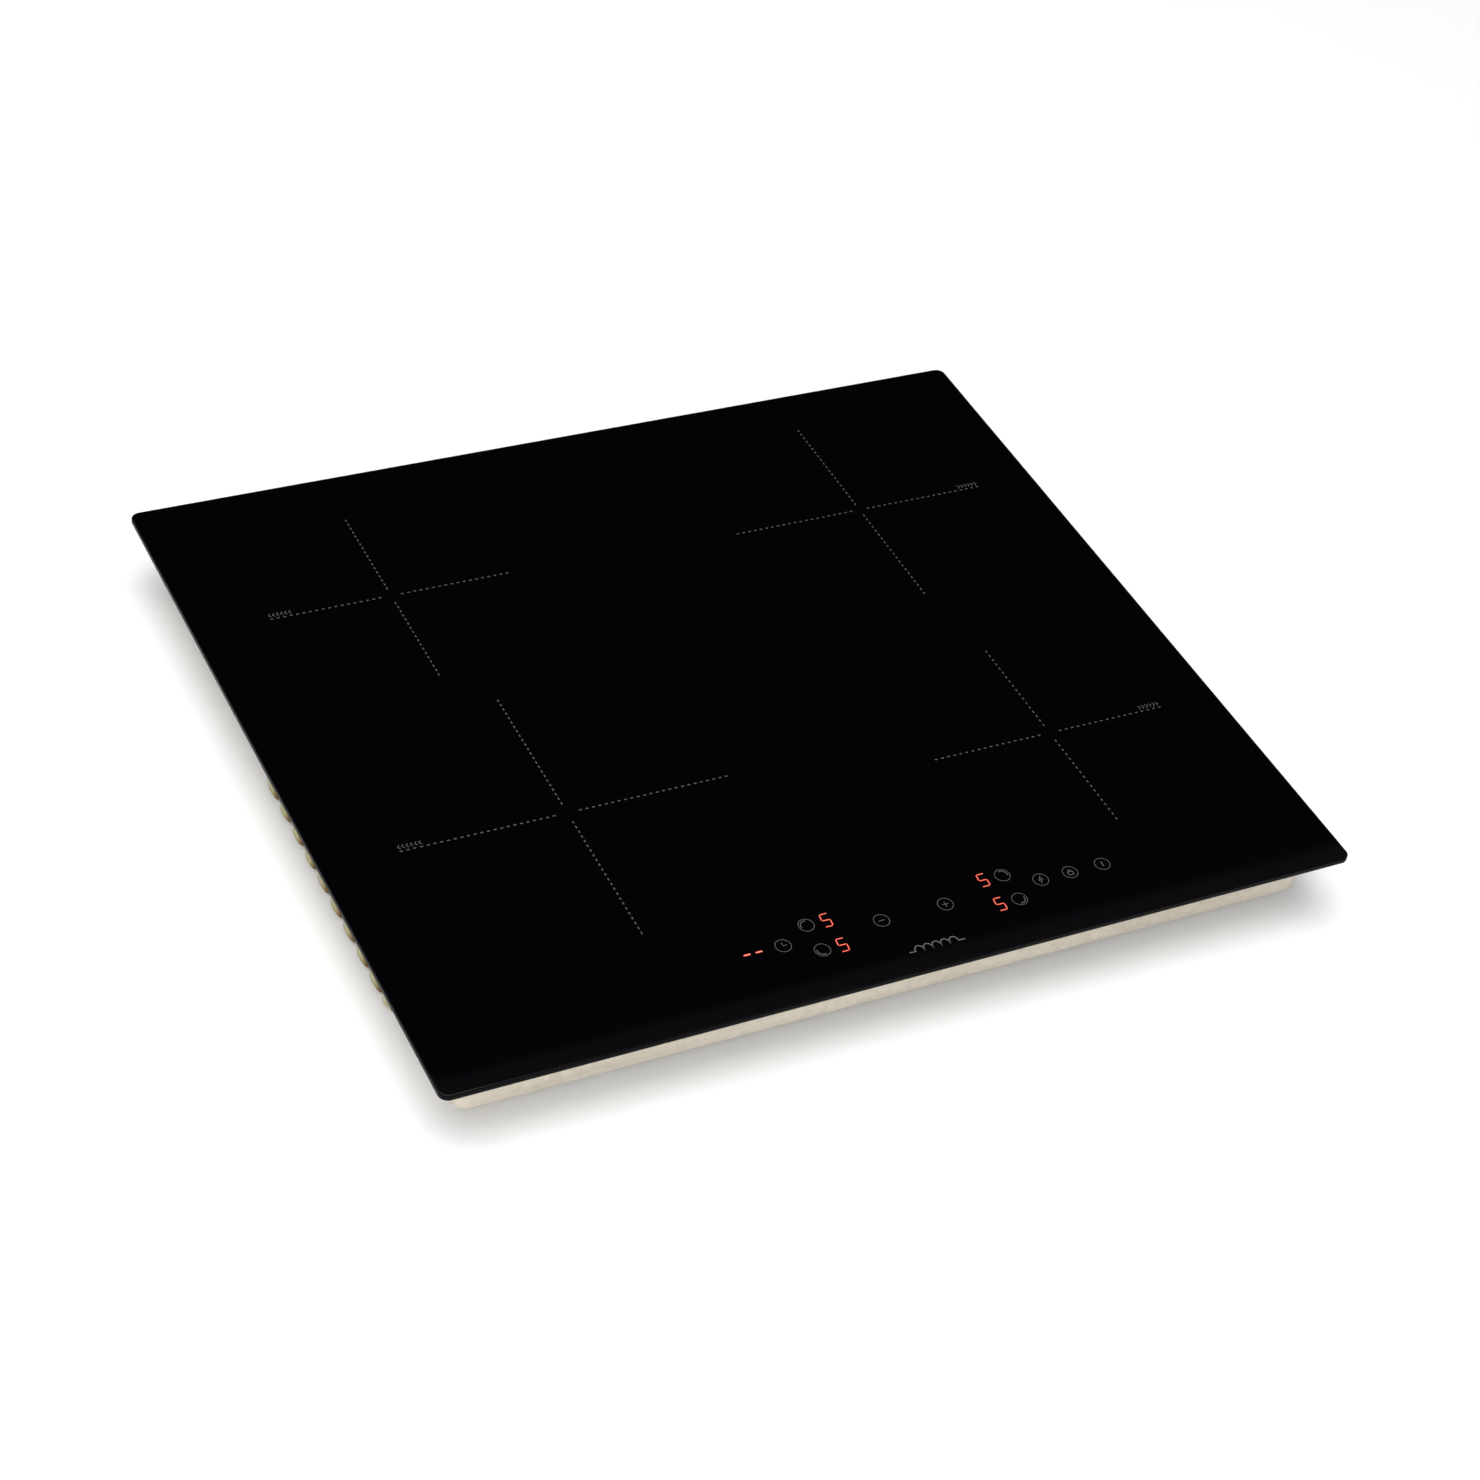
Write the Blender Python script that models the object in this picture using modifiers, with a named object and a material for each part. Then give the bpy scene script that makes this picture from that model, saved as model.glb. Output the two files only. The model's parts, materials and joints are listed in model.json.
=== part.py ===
"""Built-in electric induction cooktop with four cooking zones.

Frame: metres, +Z up, +X to the user's right, -Y towards the user. The origin is at the middle of
the footprint, on the plane of the case's lowest face. The glass top is a rectangle with rounded
corners; a sheet-steel case hangs under it, shallow all round and deeper in the middle, with
louvred air outlets low on both sides. Inside are two sprung coil carriers with two induction
coils each, two power boards with heat sinks, two radial fans, a mains filter, and the touch
controls behind the glass at the front.
"""

import math

import bmesh
import bpy
from mathutils import Matrix, Vector

# ---------------------------------------------------------------- driving dimensions (metres)
GAP = 0.0003  # what touching pieces keep between them
CUT_THROUGH = 0.002  # how far a cutter runs past the face it cuts

OVERALL_HEIGHT = 0.0485
GLASS_WIDTH = 0.590
GLASS_DEPTH = 0.520
GLASS_THICKNESS = 0.004
GLASS_CORNER = 0.006
GLASS_EDGE = 0.0009  # ground edge, top and bottom

CASE_INSET = 0.0175  # case side to glass edge
CASE_CORNER = 0.0095
RIM_HEIGHT = 0.0375  # glass top down to the shallow part's underside
SHEET = 0.001  # case sheet thickness
FLANGE_WIDTH = 0.0055
SEAL_THICKNESS = 0.0008

SIDE_LEDGE = 0.0275  # case side to the sump, the deeper middle of the case
FRONT_LEDGE = 0.0785
BACK_LEDGE = 0.0375
SUMP_CORNER = 0.008
BAY_LENGTH = 0.2163  # the sump is widened to the case's sides up to this far behind its front
BAY_SETBACK = 0.010  # sump front to the bays' front
BAY_INSET = 0.0006  # bay wall inside the case's side, which the louvre strip makes up
FAN_SLOT = 0.0032  # air slots under a fan
FAN_SLOT_PITCH = 0.0066
VENT_COUNT = 12  # upright slots in the back wall
VENT_PITCH = 0.010
VENT_SLOT = 0.004
VENT_START = -0.205  # first slot's left edge
VENT_ABOVE_LEDGE = (0.008, 0.020)

GASKET_WIDTH = 0.008
GASKET_THICKNESS = 0.0025
GASKET_INSET = 0.004  # from the glass edge

# louvres: a row of pressed hoods on a strip at each side
HOOD_COUNT = 9  # full hoods; a short one ends the row at the front
SHORT_HOOD = 0.0078
HOOD_SPACE = 0.0031  # between hoods
HOOD_REACH = 0.0023  # how far a hood stands out of its strip
HOOD_RISE = 0.0052
HOOD_WALL = 0.0006
STRIP_THICKNESS = 0.0008
STRIP_BOTTOM = 0.0010
STRIP_TOP = 0.0095
STRIP_END = 0.0028  # plain strip past the last hood
STRIP_MARGIN = 0.0024  # bay end to strip end
WINDOW_MARGIN = 0.0022  # strip edge to the window behind it
LIP_ABOVE_STRIP = 0.0012  # hood mouth above the strip's lower edge

# coil stack, from the glass down
MICA_THICKNESS = 0.0006
WINDING_HEIGHT = 0.004
FORMER_HEIGHT = 0.004
FORMER_RIM = 0.003  # former radius past the winding
FORMER_LIP = 0.0015  # the former's raised rims above its deck
FORMER_SLEEVE = 0.002  # wall round the sensor hole
WINDING_ROUND = 0.0012
FERRITE_WIDTH = 0.011
FERRITE_HEIGHT = 0.0043
FERRITE_RECESS = 0.0024  # how deep the bars sit in the former
FERRITE_COUNT = 8
CARRIER_THICKNESS = 0.0015
CARRIER_CORNER = 0.010
SENSOR_RADIUS = 0.011
SENSOR_HOLE = 0.0135

# name: (middle x, middle y, winding outer radius, winding inner radius)
ZONES = {
    "left_rear": (-0.167, 0.137, 0.074, 0.024),
    "left_front": (-0.142, -0.078, 0.098, 0.030),
    "right_rear": (0.162, 0.131, 0.085, 0.026),
    "right_front": (0.1725, -0.104, 0.074, 0.024),
}
# each carrier's limits along X, and where its springs stand
CARRIER_X = {"left": (-0.262, -0.036), "right": (0.072, 0.262)}
CARRIER_EDGE = 0.011  # spring to the carrier's front or back edge
SPRING_LEDGE = 0.012  # spring to the sump's edge
FRONT_SPRINGS_X = {"left": (-0.225, -0.062), "right": (0.092, 0.238)}
REAR_SPRING_X = {"left": -0.167, "right": 0.1635}
SPRING_RADIUS = 0.0042
SPRING_WIRE = 0.0006  # wire radius
SPRING_TURNS = 4

# electronics
STANDOFF = 0.0045
BOARD_THICKNESS = 0.0016
POWER_BOARD = (0.205, 0.182)  # x and y size
POWER_BOARD_X = 0.136
BOARD_FRONT_GAP = 0.009  # sump front to board
SINK_SIZE = (0.120, 0.044, 0.020)
SINK_BASE = 0.003
SINK_FINS = 9
SINK_FIN = 0.0018
FAN_X = 0.130
FAN_GAP = 0.023  # board to fan
FAN_WALL = 0.0018
ROTOR_RADIUS = 0.034
ROTOR_HEIGHT = 0.0145
ROTOR_ROOM = 0.0062  # rotor to the housing's walls
ROTOR_LIFT = 0.0015  # housing floor to rotor
ROTOR_HEADROOM = 0.0019
INLET_LAP = 0.008  # rotor rim past the air inlet
ROTOR_BLADES = 11
HUB_RADIUS = 0.013
SHAFT_RADIUS = 0.003
FILTER_BOARD = (0.060, 0.112)
FILTER_X = 0.212
FILTER_BACK_GAP = 0.014  # filter board to sump back

# touch controls, middle of each key and display on the glass
KEY_ROW_FROM_EDGE = 0.0435  # key row to the glass's front edge
KEY_ROW_Y = -GLASS_DEPTH / 2 + KEY_ROW_FROM_EDGE
KEY_REAR_Y = KEY_ROW_Y + 0.0105
KEY_FRONT_Y = KEY_ROW_Y - 0.0102
KEYS = (
    (-0.0696, KEY_ROW_Y), (-0.0496, KEY_REAR_Y), (-0.0496, KEY_FRONT_Y),
    (-0.0060, KEY_ROW_Y), (0.0362, KEY_ROW_Y), (0.0805, KEY_REAR_Y), (0.0805, KEY_FRONT_Y),
    (0.1008, KEY_ROW_Y), (0.1210, KEY_ROW_Y), (0.1434, KEY_ROW_Y),
)
PAD_RADIUS = 0.0042
DISPLAY_HEIGHT = 0.0032
TIMER_DISPLAY = (-0.0884, KEY_ROW_Y, 0.018, 0.013)  # middle x, middle y, size x, size y
DIGIT_PAIR = (0.009, 0.033)  # size of the module that holds a side's two digits
LEFT_DIGITS_X = -0.0367
RIGHT_DIGITS_X = 0.0674
HOLDER_X = (-0.108, 0.157)
HOLDER_Y = (KEY_ROW_Y - 0.019, KEY_ROW_Y + 0.021)
HOLDER_HEIGHT = 0.0075
HOLDER_WALL = 0.0012
CONTROL_BELOW_GLASS = 0.0009  # holder rim to glass

# mains terminal, at the back on the right
TERMINAL_X = 0.207
TERMINAL_WIDTH = 0.062
TERMINAL_LENGTH = 0.040
TERMINAL_HEIGHT = 0.0155
TERMINAL_WALL = 0.0018
TERMINAL_PROUD = 0.002  # rim past the back wall
LID_THICKNESS = 0.0018
LID_PIN = 0.0008  # radius
LID_PIN_CLEARANCE = 0.0001
LID_PIN_LENGTH = 0.0011
CABLE_SLOT = 0.0095
TERMINAL_BLOCK = (0.048, 0.014, 0.0085)
TERMINAL_POLES = 5

# swivel clamps under the shallow rim
CLAMP_X = {"front": 0.200, "rear": 0.140}
CLAMP_FROM_EDGE = 0.0185  # clamp screw to the case's front or back
CLAMP_WIDTH = 0.014
CLAMP_THICKNESS = 0.0015
CLAMP_REACH = 0.030  # pivot to tip
CLAMP_FOOT = 0.010  # pivot to the bend
CLAMP_DROP = 0.0042
SCREW_RADIUS = 0.0019
SCREW_HEAD = 0.0038
SCREW_HEAD_HEIGHT = 0.0022
SCREW_TIP = 0.004  # past the sheet, inside the case
HOLE_CLEARANCE = 0.0003

# ---------------------------------------------------------------- places worked out from them
CASE_WIDTH = GLASS_WIDTH - 2 * CASE_INSET
CASE_DEPTH = GLASS_DEPTH - 2 * CASE_INSET
CASE_BACK = CASE_DEPTH / 2
SUMP_WIDTH = CASE_WIDTH - 2 * SIDE_LEDGE
SUMP_FRONT = -CASE_BACK + FRONT_LEDGE
SUMP_BACK = CASE_BACK - BACK_LEDGE
BAY_WIDTH = CASE_WIDTH - 2 * BAY_INSET
BAY_FRONT = SUMP_FRONT + BAY_SETBACK
BAY_BACK = SUMP_FRONT + BAY_LENGTH
STRIP_Y = (BAY_FRONT + STRIP_MARGIN, BAY_BACK - STRIP_MARGIN)
HOOD_PITCH = (STRIP_Y[1] - STRIP_Y[0] - 2 * STRIP_END - SHORT_HOOD) / HOOD_COUNT
HOOD_LENGTH = HOOD_PITCH - HOOD_SPACE
SPRING_Y = (SUMP_FRONT - SPRING_LEDGE, SUMP_BACK + SPRING_LEDGE)
CARRIER_Y = (SPRING_Y[0] - CARRIER_EDGE, SPRING_Y[1] + CARRIER_EDGE)
POWER_BOARD_Y = SUMP_FRONT + BOARD_FRONT_GAP + POWER_BOARD[1] / 2
FAN_SIDE = 2 * (ROTOR_RADIUS + ROTOR_ROOM + FAN_WALL)
FAN_HEIGHT = ROTOR_HEIGHT + ROTOR_LIFT + ROTOR_HEADROOM + 2 * FAN_WALL
FAN_INLET = ROTOR_RADIUS - INLET_LAP
FAN_Y = POWER_BOARD_Y + POWER_BOARD[1] / 2 + FAN_GAP + FAN_SIDE / 2
FILTER_Y = SUMP_BACK - FILTER_BACK_GAP - FILTER_BOARD[1] / 2
CLAMP_Y = CASE_BACK - CLAMP_FROM_EDGE

# ---------------------------------------------------------------- heights worked out from them
GLASS_UNDER = OVERALL_HEIGHT - GLASS_THICKNESS
LEDGE_Z = OVERALL_HEIGHT - RIM_HEIGHT  # underside of the shallow part
FLANGE_TOP = GLASS_UNDER - SEAL_THICKNESS - 2 * GAP
MICA_TOP = GLASS_UNDER - GAP
WINDING_TOP = MICA_TOP - MICA_THICKNESS - GAP
FORMER_TOP = WINDING_TOP - WINDING_HEIGHT - GAP
FORMER_BOTTOM = FORMER_TOP - FORMER_HEIGHT
FERRITE_TOP = FORMER_BOTTOM + FERRITE_RECESS - GAP
FERRITE_BOTTOM = FERRITE_TOP - FERRITE_HEIGHT
CARRIER_TOP = FERRITE_BOTTOM - GAP
CARRIER_BOTTOM = CARRIER_TOP - CARRIER_THICKNESS
BOARD_BOTTOM = SHEET + GAP + STANDOFF
BOARD_TOP = BOARD_BOTTOM + BOARD_THICKNESS
HOLDER_TOP = GLASS_UNDER - CONTROL_BELOW_GLASS
HOLDER_BOTTOM = HOLDER_TOP - HOLDER_HEIGHT
TERMINAL_BOTTOM = LEDGE_Z + 2 * SHEET + GAP
TERMINAL_TOP = TERMINAL_BOTTOM + TERMINAL_HEIGHT - SHEET
TERMINAL_MIDDLE = (TERMINAL_BOTTOM + TERMINAL_TOP) / 2

SIDES = {"left": -1, "right": 1}

# name: (colour, roughness, metallic)
MATERIALS = {
    "black_glass": ((0.004, 0.004, 0.005), 0.06, 0.0),
    "foam_gasket": ((0.03, 0.03, 0.03), 0.9, 0.0),
    "white_silicone": ((0.75, 0.75, 0.72), 0.5, 0.0),
    "galvanised_steel": ((0.62, 0.58, 0.50), 0.35, 0.9),
    "passivated_steel": ((0.48, 0.42, 0.26), 0.3, 0.9),
    "aluminium_sheet": ((0.75, 0.76, 0.78), 0.35, 1.0),
    "white_former": ((0.80, 0.79, 0.74), 0.5, 0.0),
    "copper_litz": ((0.60, 0.27, 0.12), 0.4, 0.9),
    "ferrite": ((0.05, 0.05, 0.055), 0.6, 0.0),
    "silicone_rubber": ((0.55, 0.16, 0.10), 0.6, 0.0),
    "mica": ((0.60, 0.57, 0.48), 0.6, 0.0),
    "spring_steel": ((0.70, 0.70, 0.70), 0.3, 1.0),
    "circuit_board": ((0.03, 0.20, 0.09), 0.4, 0.0),
    "black_plastic": ((0.02, 0.02, 0.02), 0.45, 0.0),
    "red_display": ((0.60, 0.03, 0.02), 0.3, 0.0),
    "grey_plastic": ((0.35, 0.35, 0.36), 0.5, 0.0),
    "zinc_screw": ((0.68, 0.69, 0.70), 0.3, 1.0),
    "cable_jacket": ((0.75, 0.73, 0.68), 0.5, 0.0),
}


# ---------------------------------------------------------------- scene helpers
def clear_scene():
    for obj in list(bpy.data.objects):
        bpy.data.objects.remove(obj, do_unlink=True)


def new_collection(name):
    collection = bpy.data.collections.new(name)
    bpy.context.scene.collection.children.link(collection)
    return collection


def new_material(name):
    colour, roughness, metallic = MATERIALS[name]
    material = bpy.data.materials.new(name)
    material.use_nodes = True
    shader = material.node_tree.nodes["Principled BSDF"]
    shader.inputs["Base Color"].default_value = (*colour, 1.0)
    shader.inputs["Roughness"].default_value = roughness
    shader.inputs["Metallic"].default_value = metallic
    return material


def part(name, bm, material, at=(0, 0, 0), smooth=False):
    """An object of the cooktop made from a bmesh, with its origin at a place."""
    mesh = bpy.data.meshes.new(name)
    bmesh.ops.recalc_face_normals(bm, faces=bm.faces)
    bm.to_mesh(mesh)
    bm.free()
    obj = bpy.data.objects.new(name, mesh)
    obj.location = at
    finish_part(obj, material)
    if smooth:
        mesh.shade_smooth()
        mesh.set_sharp_from_angle(angle=math.radians(35))
    return obj


def finish_part(obj, material):
    obj.data.materials.append(bpy.data.materials[material])
    bpy.data.collections["induction_cooktop"].objects.link(obj)


def tool(name, bm, at=(0, 0, 0)):
    """A hidden shape that cuts or joins a part."""
    mesh = bpy.data.meshes.new(name)
    bm.to_mesh(mesh)
    bm.free()
    obj = bpy.data.objects.new(name, mesh)
    obj.location = at
    obj.hide_render = True
    obj.display_type = "WIRE"
    bpy.data.collections["cutters"].objects.link(obj)
    return obj


def combine(target, operation, bm, at=(0, 0, 0)):
    """Boolean of a part with the shapes in a bmesh."""
    index = len(target.modifiers)
    modifier = target.modifiers.new(f"{operation.lower()}_{index}", "BOOLEAN")
    modifier.operation = operation
    modifier.solver = "EXACT"
    modifier.object = tool(f"{target.name}_tool_{index}", bm, at)


def cut(target, bm, at=(0, 0, 0)):
    combine(target, "DIFFERENCE", bm, at)


def fuse(target, bm, at=(0, 0, 0)):
    combine(target, "UNION", bm, at)


def joint_empty(name, at):
    """The empty that a moving body's parts hang from, on its joint's axis."""
    empty = bpy.data.objects.new(name, None)
    empty.location = at
    bpy.data.collections["induction_cooktop"].objects.link(empty)
    return empty


def hang(obj, empty):
    """Parents a part to an empty and keeps it where it is."""
    obj.parent = empty
    obj.location = Vector(obj.location) - Vector(empty.location)


# ---------------------------------------------------------------- shape helpers
def add_box(bm, x, y, z, corner=0.0, segments=4):
    """A box between pairs of limits, its upright edges rounded by corner."""
    size = (x[1] - x[0], y[1] - y[0], z[1] - z[0])
    middle = (sum(x) / 2, sum(y) / 2, sum(z) / 2)
    place = Matrix.Translation(middle) @ Matrix.Diagonal((*size, 1))
    made = bmesh.ops.create_cube(bm, size=1, matrix=place)["verts"]
    if corner:
        upright = {e for v in made for e in v.link_edges if is_upright(e)}
        bmesh.ops.bevel(bm, geom=list(upright), offset=corner, segments=segments,
                        profile=0.5, affect="EDGES")


def is_upright(edge):
    ends = edge.verts[0].co - edge.verts[1].co
    return abs(ends.z) > 0.99 * ends.length


def add_rod(bm, at, radius, z, segments=16, direction="Z"):
    """A cylinder along Z, X or Y; z gives its limits along that axis, at the other two places."""
    turn = {"Z": Matrix(), "X": Matrix.Rotation(math.pi / 2, 4, "Y"),
            "Y": Matrix.Rotation(-math.pi / 2, 4, "X")}[direction]
    along = (z[0] + z[1]) / 2
    place = {"Z": (at[0], at[1], along), "X": (along, at[0], at[1]),
             "Y": (at[0], along, at[1])}[direction]
    bmesh.ops.create_cone(bm, cap_ends=True, segments=segments, radius1=radius, radius2=radius,
                          depth=z[1] - z[0], matrix=Matrix.Translation(place) @ turn)


def box(x, y, z, corner=0.0, segments=4):
    bm = bmesh.new()
    add_box(bm, x, y, z, corner, segments)
    return bm


def rod(at, radius, z, segments=16, direction="Z"):
    bm = bmesh.new()
    add_rod(bm, at, radius, z, segments, direction)
    return bm


def centred(width):
    return (-width / 2, width / 2)


def turned(name, profile, material, at, segments=24):
    """A closed profile of (radius, height) points swept round Z by a Screw modifier.

    The points run down the outer side first and back up the inner side.
    """
    bm = bmesh.new()
    points = [bm.verts.new((r, 0, z)) for r, z in profile]
    for i, point in enumerate(points):
        bm.edges.new((point, points[(i + 1) % len(points)]))
    mesh = bpy.data.meshes.new(name)
    bm.to_mesh(mesh)
    bm.free()
    obj = bpy.data.objects.new(name, mesh)
    obj.location = at
    screw = obj.modifiers.new("turn", "SCREW")
    screw.steps = screw.render_steps = segments
    screw.use_merge_vertices = True
    screw.merge_threshold = 0.00001
    screw.use_smooth_shade = True
    finish_part(obj, material)
    return obj


def tube(name, points, radius, material, sides=2):
    """A wire or cable along points."""
    curve = bpy.data.curves.new(name, "CURVE")
    curve.dimensions = "3D"
    curve.bevel_depth = radius
    curve.bevel_resolution = sides
    curve.use_fill_caps = True
    spline = curve.splines.new("POLY")
    spline.points.add(len(points) - 1)
    for point, co in zip(spline.points, points):
        point.co = (*co, 1)
    obj = bpy.data.objects.new(name, curve)
    finish_part(obj, material)
    return obj


def smooth_route(points, steps=5):
    """Catmull-Rom curve through a few points, as more points."""
    padded = [points[0], *points, points[-1]]
    route = []
    for before, start, end, after in zip(padded, padded[1:], padded[2:], padded[3:]):
        for i in range(steps):
            t = i / steps
            route.append(tuple(
                0.5 * (2 * b + (c - a) * t + (2 * a - 5 * b + 4 * c - d) * t * t
                       + (3 * b - a - 3 * c + d) * t ** 3)
                for a, b, c, d in zip(before, start, end, after)))
    return [*route, tuple(points[-1])]


def to_mesh(obj):
    """Turns a capped curve object into a closed mesh object, so that Booleans can take it."""
    name, material = obj.name, obj.data.materials[0]
    graph = bpy.context.evaluated_depsgraph_get()
    mesh = bpy.data.meshes.new_from_object(obj.evaluated_get(graph))
    bm = bmesh.new()
    bm.from_mesh(mesh)
    bmesh.ops.remove_doubles(bm, verts=bm.verts, dist=0.00001)
    bm.to_mesh(mesh)
    bm.free()
    made = bpy.data.objects.new(name + "_mesh", mesh)
    made.matrix_world = obj.matrix_world
    bpy.data.objects.remove(obj)
    made.name = name
    mesh.materials.clear()
    finish_part(made, material.name)
    return made


# ---------------------------------------------------------------- glass and seals
def make_glass():
    bm = box(centred(GLASS_WIDTH), centred(GLASS_DEPTH), (GLASS_UNDER, OVERALL_HEIGHT),
             GLASS_CORNER, 8)
    glass = part("glass_plate", bm, "black_glass", smooth=True)
    edge = glass.modifiers.new("ground_edge", "BEVEL")
    edge.width = GLASS_EDGE
    edge.segments = 2
    edge.limit_method = "ANGLE"
    edge.angle_limit = math.radians(60)


def make_ring(name, width, depth, ring_width, z, corner, material):
    """A flat rectangular ring with rounded corners, such as a seal."""
    bm = box(centred(width), centred(depth), z, corner)
    ring = part(name, bm, material)
    inner = box(centred(width - 2 * ring_width), centred(depth - 2 * ring_width),
                (z[0] - CUT_THROUGH, z[1] + CUT_THROUGH), max(corner - ring_width, 0.002))
    cut(ring, inner)
    return ring


def make_seals():
    gasket_top = GLASS_UNDER - GAP
    make_ring("worktop_gasket", GLASS_WIDTH - 2 * GASKET_INSET, GLASS_DEPTH - 2 * GASKET_INSET,
              GASKET_WIDTH, (gasket_top - GASKET_THICKNESS, gasket_top), GLASS_CORNER, "foam_gasket")
    make_ring("glass_seal", CASE_WIDTH, CASE_DEPTH, FLANGE_WIDTH,
              (FLANGE_TOP + GAP, FLANGE_TOP + GAP + SEAL_THICKNESS), CASE_CORNER, "white_silicone")


# ---------------------------------------------------------------- case
def make_tray():
    """The sheet-steel case: shallow rim, deeper sump, and a bay at each side for the louvres."""
    tray = part("base_tray", box(centred(CASE_WIDTH), centred(CASE_DEPTH), (LEDGE_Z, FLANGE_TOP),
                                 CASE_CORNER, 5), "galvanised_steel")
    sump_y = (SUMP_FRONT, SUMP_BACK)
    bay_y = (BAY_FRONT, BAY_BACK)
    into_rim = (0, LEDGE_Z + SHEET / 2)
    fuse(tray, box(centred(SUMP_WIDTH), sump_y, into_rim, SUMP_CORNER))
    fuse(tray, box(centred(BAY_WIDTH), bay_y, into_rim, SUMP_CORNER / 2))

    def inside(limits):
        return (limits[0] + SHEET, limits[1] - SHEET)

    hollow = (SHEET, LEDGE_Z + SHEET + CUT_THROUGH)
    cut(tray, box(inside(centred(CASE_WIDTH)), inside(centred(CASE_DEPTH)),
                  (LEDGE_Z + SHEET, FLANGE_TOP - SHEET), CASE_CORNER - SHEET, 5))
    cut(tray, box(inside(centred(SUMP_WIDTH)), inside(sump_y), hollow, SUMP_CORNER - SHEET))
    cut(tray, box(inside(centred(BAY_WIDTH)), inside(bay_y), hollow, SUMP_CORNER / 2 - SHEET))
    cut(tray, box(centred(CASE_WIDTH - 2 * FLANGE_WIDTH), centred(CASE_DEPTH - 2 * FLANGE_WIDTH),
                  (FLANGE_TOP - SHEET - CUT_THROUGH, FLANGE_TOP + CUT_THROUGH), 0.002))
    cut(tray, louvre_windows())
    cut(tray, fan_grilles())
    cut(tray, rear_vents())
    cut(tray, terminal_opening())
    cut(tray, clamp_holes())


def louvre_windows():
    """One long window in each bay's side wall, behind its louvre strip."""
    y0, y1 = STRIP_Y
    bm = bmesh.new()
    for side in SIDES.values():
        wall = side * BAY_WIDTH / 2
        add_box(bm, sorted((wall - CUT_THROUGH, wall + CUT_THROUGH)),
                (y0 + WINDOW_MARGIN, y1 - WINDOW_MARGIN),
                (STRIP_BOTTOM + WINDOW_MARGIN, STRIP_TOP - WINDOW_MARGIN))
    return bm


def fan_grilles():
    """Parallel slots under each fan, their ends following a circle."""
    bm = bmesh.new()
    for side in SIDES.values():
        for row in range(-3, 4):
            offset = row * FAN_SLOT_PITCH
            half = math.sqrt(FAN_INLET ** 2 - offset ** 2)
            y = FAN_Y + offset
            add_box(bm, (side * FAN_X - half, side * FAN_X + half),
                    (y - FAN_SLOT / 2, y + FAN_SLOT / 2), (-CUT_THROUGH, SHEET + CUT_THROUGH))
    return bm


def rear_vents():
    """A row of upright slots in the back wall, on the side away from the terminal."""
    bm = bmesh.new()
    for i in range(VENT_COUNT):
        x = VENT_START + i * VENT_PITCH
        add_box(bm, (x, x + VENT_SLOT), (CASE_BACK - CUT_THROUGH, CASE_BACK + CUT_THROUGH),
                [LEDGE_Z + height for height in VENT_ABOVE_LEDGE])
    return bm


def terminal_opening():
    half = TERMINAL_WIDTH / 2 + GAP
    return box((TERMINAL_X - half, TERMINAL_X + half), (CASE_BACK - CUT_THROUGH,
               CASE_BACK + CUT_THROUGH), (TERMINAL_BOTTOM - GAP, TERMINAL_TOP + GAP))


def clamp_places():
    """(name, x, y, side, end) of each clamp; side is -1 on the left, end is -1 at the front."""
    return [(f"{end_name}_{side_name}", side * CLAMP_X[end_name], end * CLAMP_Y, side, end)
            for end_name, end in (("front", -1), ("rear", 1))
            for side_name, side in SIDES.items()]


def clamp_holes():
    bm = bmesh.new()
    for _, x, y, _, _ in clamp_places():
        add_rod(bm, (x, y), SCREW_RADIUS + HOLE_CLEARANCE,
                (LEDGE_Z - CUT_THROUGH, LEDGE_Z + SHEET + CUT_THROUGH), 12)
    return bm


def add_dome(bm, middle, radii, segments=10, rings=6):
    """The upper half of an ellipsoid, closed underneath at the height of its middle."""
    dome = bmesh.new()
    place = Matrix.Translation(middle) @ Matrix.Diagonal((*radii, 1))
    bmesh.ops.create_uvsphere(dome, u_segments=segments, v_segments=rings, radius=1, matrix=place)
    bmesh.ops.bisect_plane(dome, geom=[*dome.verts, *dome.edges, *dome.faces], plane_co=middle,
                           plane_no=(0, 0, 1), clear_inner=True)
    bmesh.ops.holes_fill(dome, edges=[e for e in dome.edges if e.is_boundary])
    bmesh.ops.recalc_face_normals(dome, faces=dome.faces)
    append(bm, dome)


def append(bm, extra):
    """Moves the shapes of one bmesh into another."""
    mesh = bpy.data.meshes.new("passing")
    extra.to_mesh(mesh)
    extra.free()
    bm.from_mesh(mesh)
    bpy.data.meshes.remove(mesh)


def hood_places():
    """(middle y, length) of each hood, from the back; the last one is short."""
    back = STRIP_Y[1] - STRIP_END
    places = [(back - HOOD_LENGTH / 2 - i * HOOD_PITCH, HOOD_LENGTH) for i in range(HOOD_COUNT)]
    return places + [(STRIP_Y[0] + STRIP_END + SHORT_HOOD / 2, SHORT_HOOD)]


def make_louvre_strip(side_name):
    """A pressed strip over the bay's window, with a row of hoods open at their lower side."""
    side = SIDES[side_name]
    inner = side * (BAY_WIDTH / 2 + GAP)
    outer = inner + side * STRIP_THICKNESS
    bm = box(sorted((inner, outer)), STRIP_Y, (STRIP_BOTTOM, STRIP_TOP))
    strip = part(f"louvre_strip_{side_name}", bm, "passivated_steel")
    lip = STRIP_BOTTOM + LIP_ABOVE_STRIP
    hoods = bmesh.new()
    hollows = bmesh.new()
    x = inner + side * STRIP_THICKNESS / 2
    for y, length in hood_places():
        radii = (HOOD_REACH + STRIP_THICKNESS / 2, length / 2, HOOD_RISE)
        add_dome(hoods, (x, y, lip), radii)
        add_dome(hollows, (x, y, lip - GAP), [r - HOOD_WALL for r in radii])
    fuse(strip, hoods)
    cut(strip, hollows)
    cut(strip, box(sorted((inner - side * HOOD_REACH, inner)), STRIP_Y,
                   (STRIP_BOTTOM, STRIP_TOP)))


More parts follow.
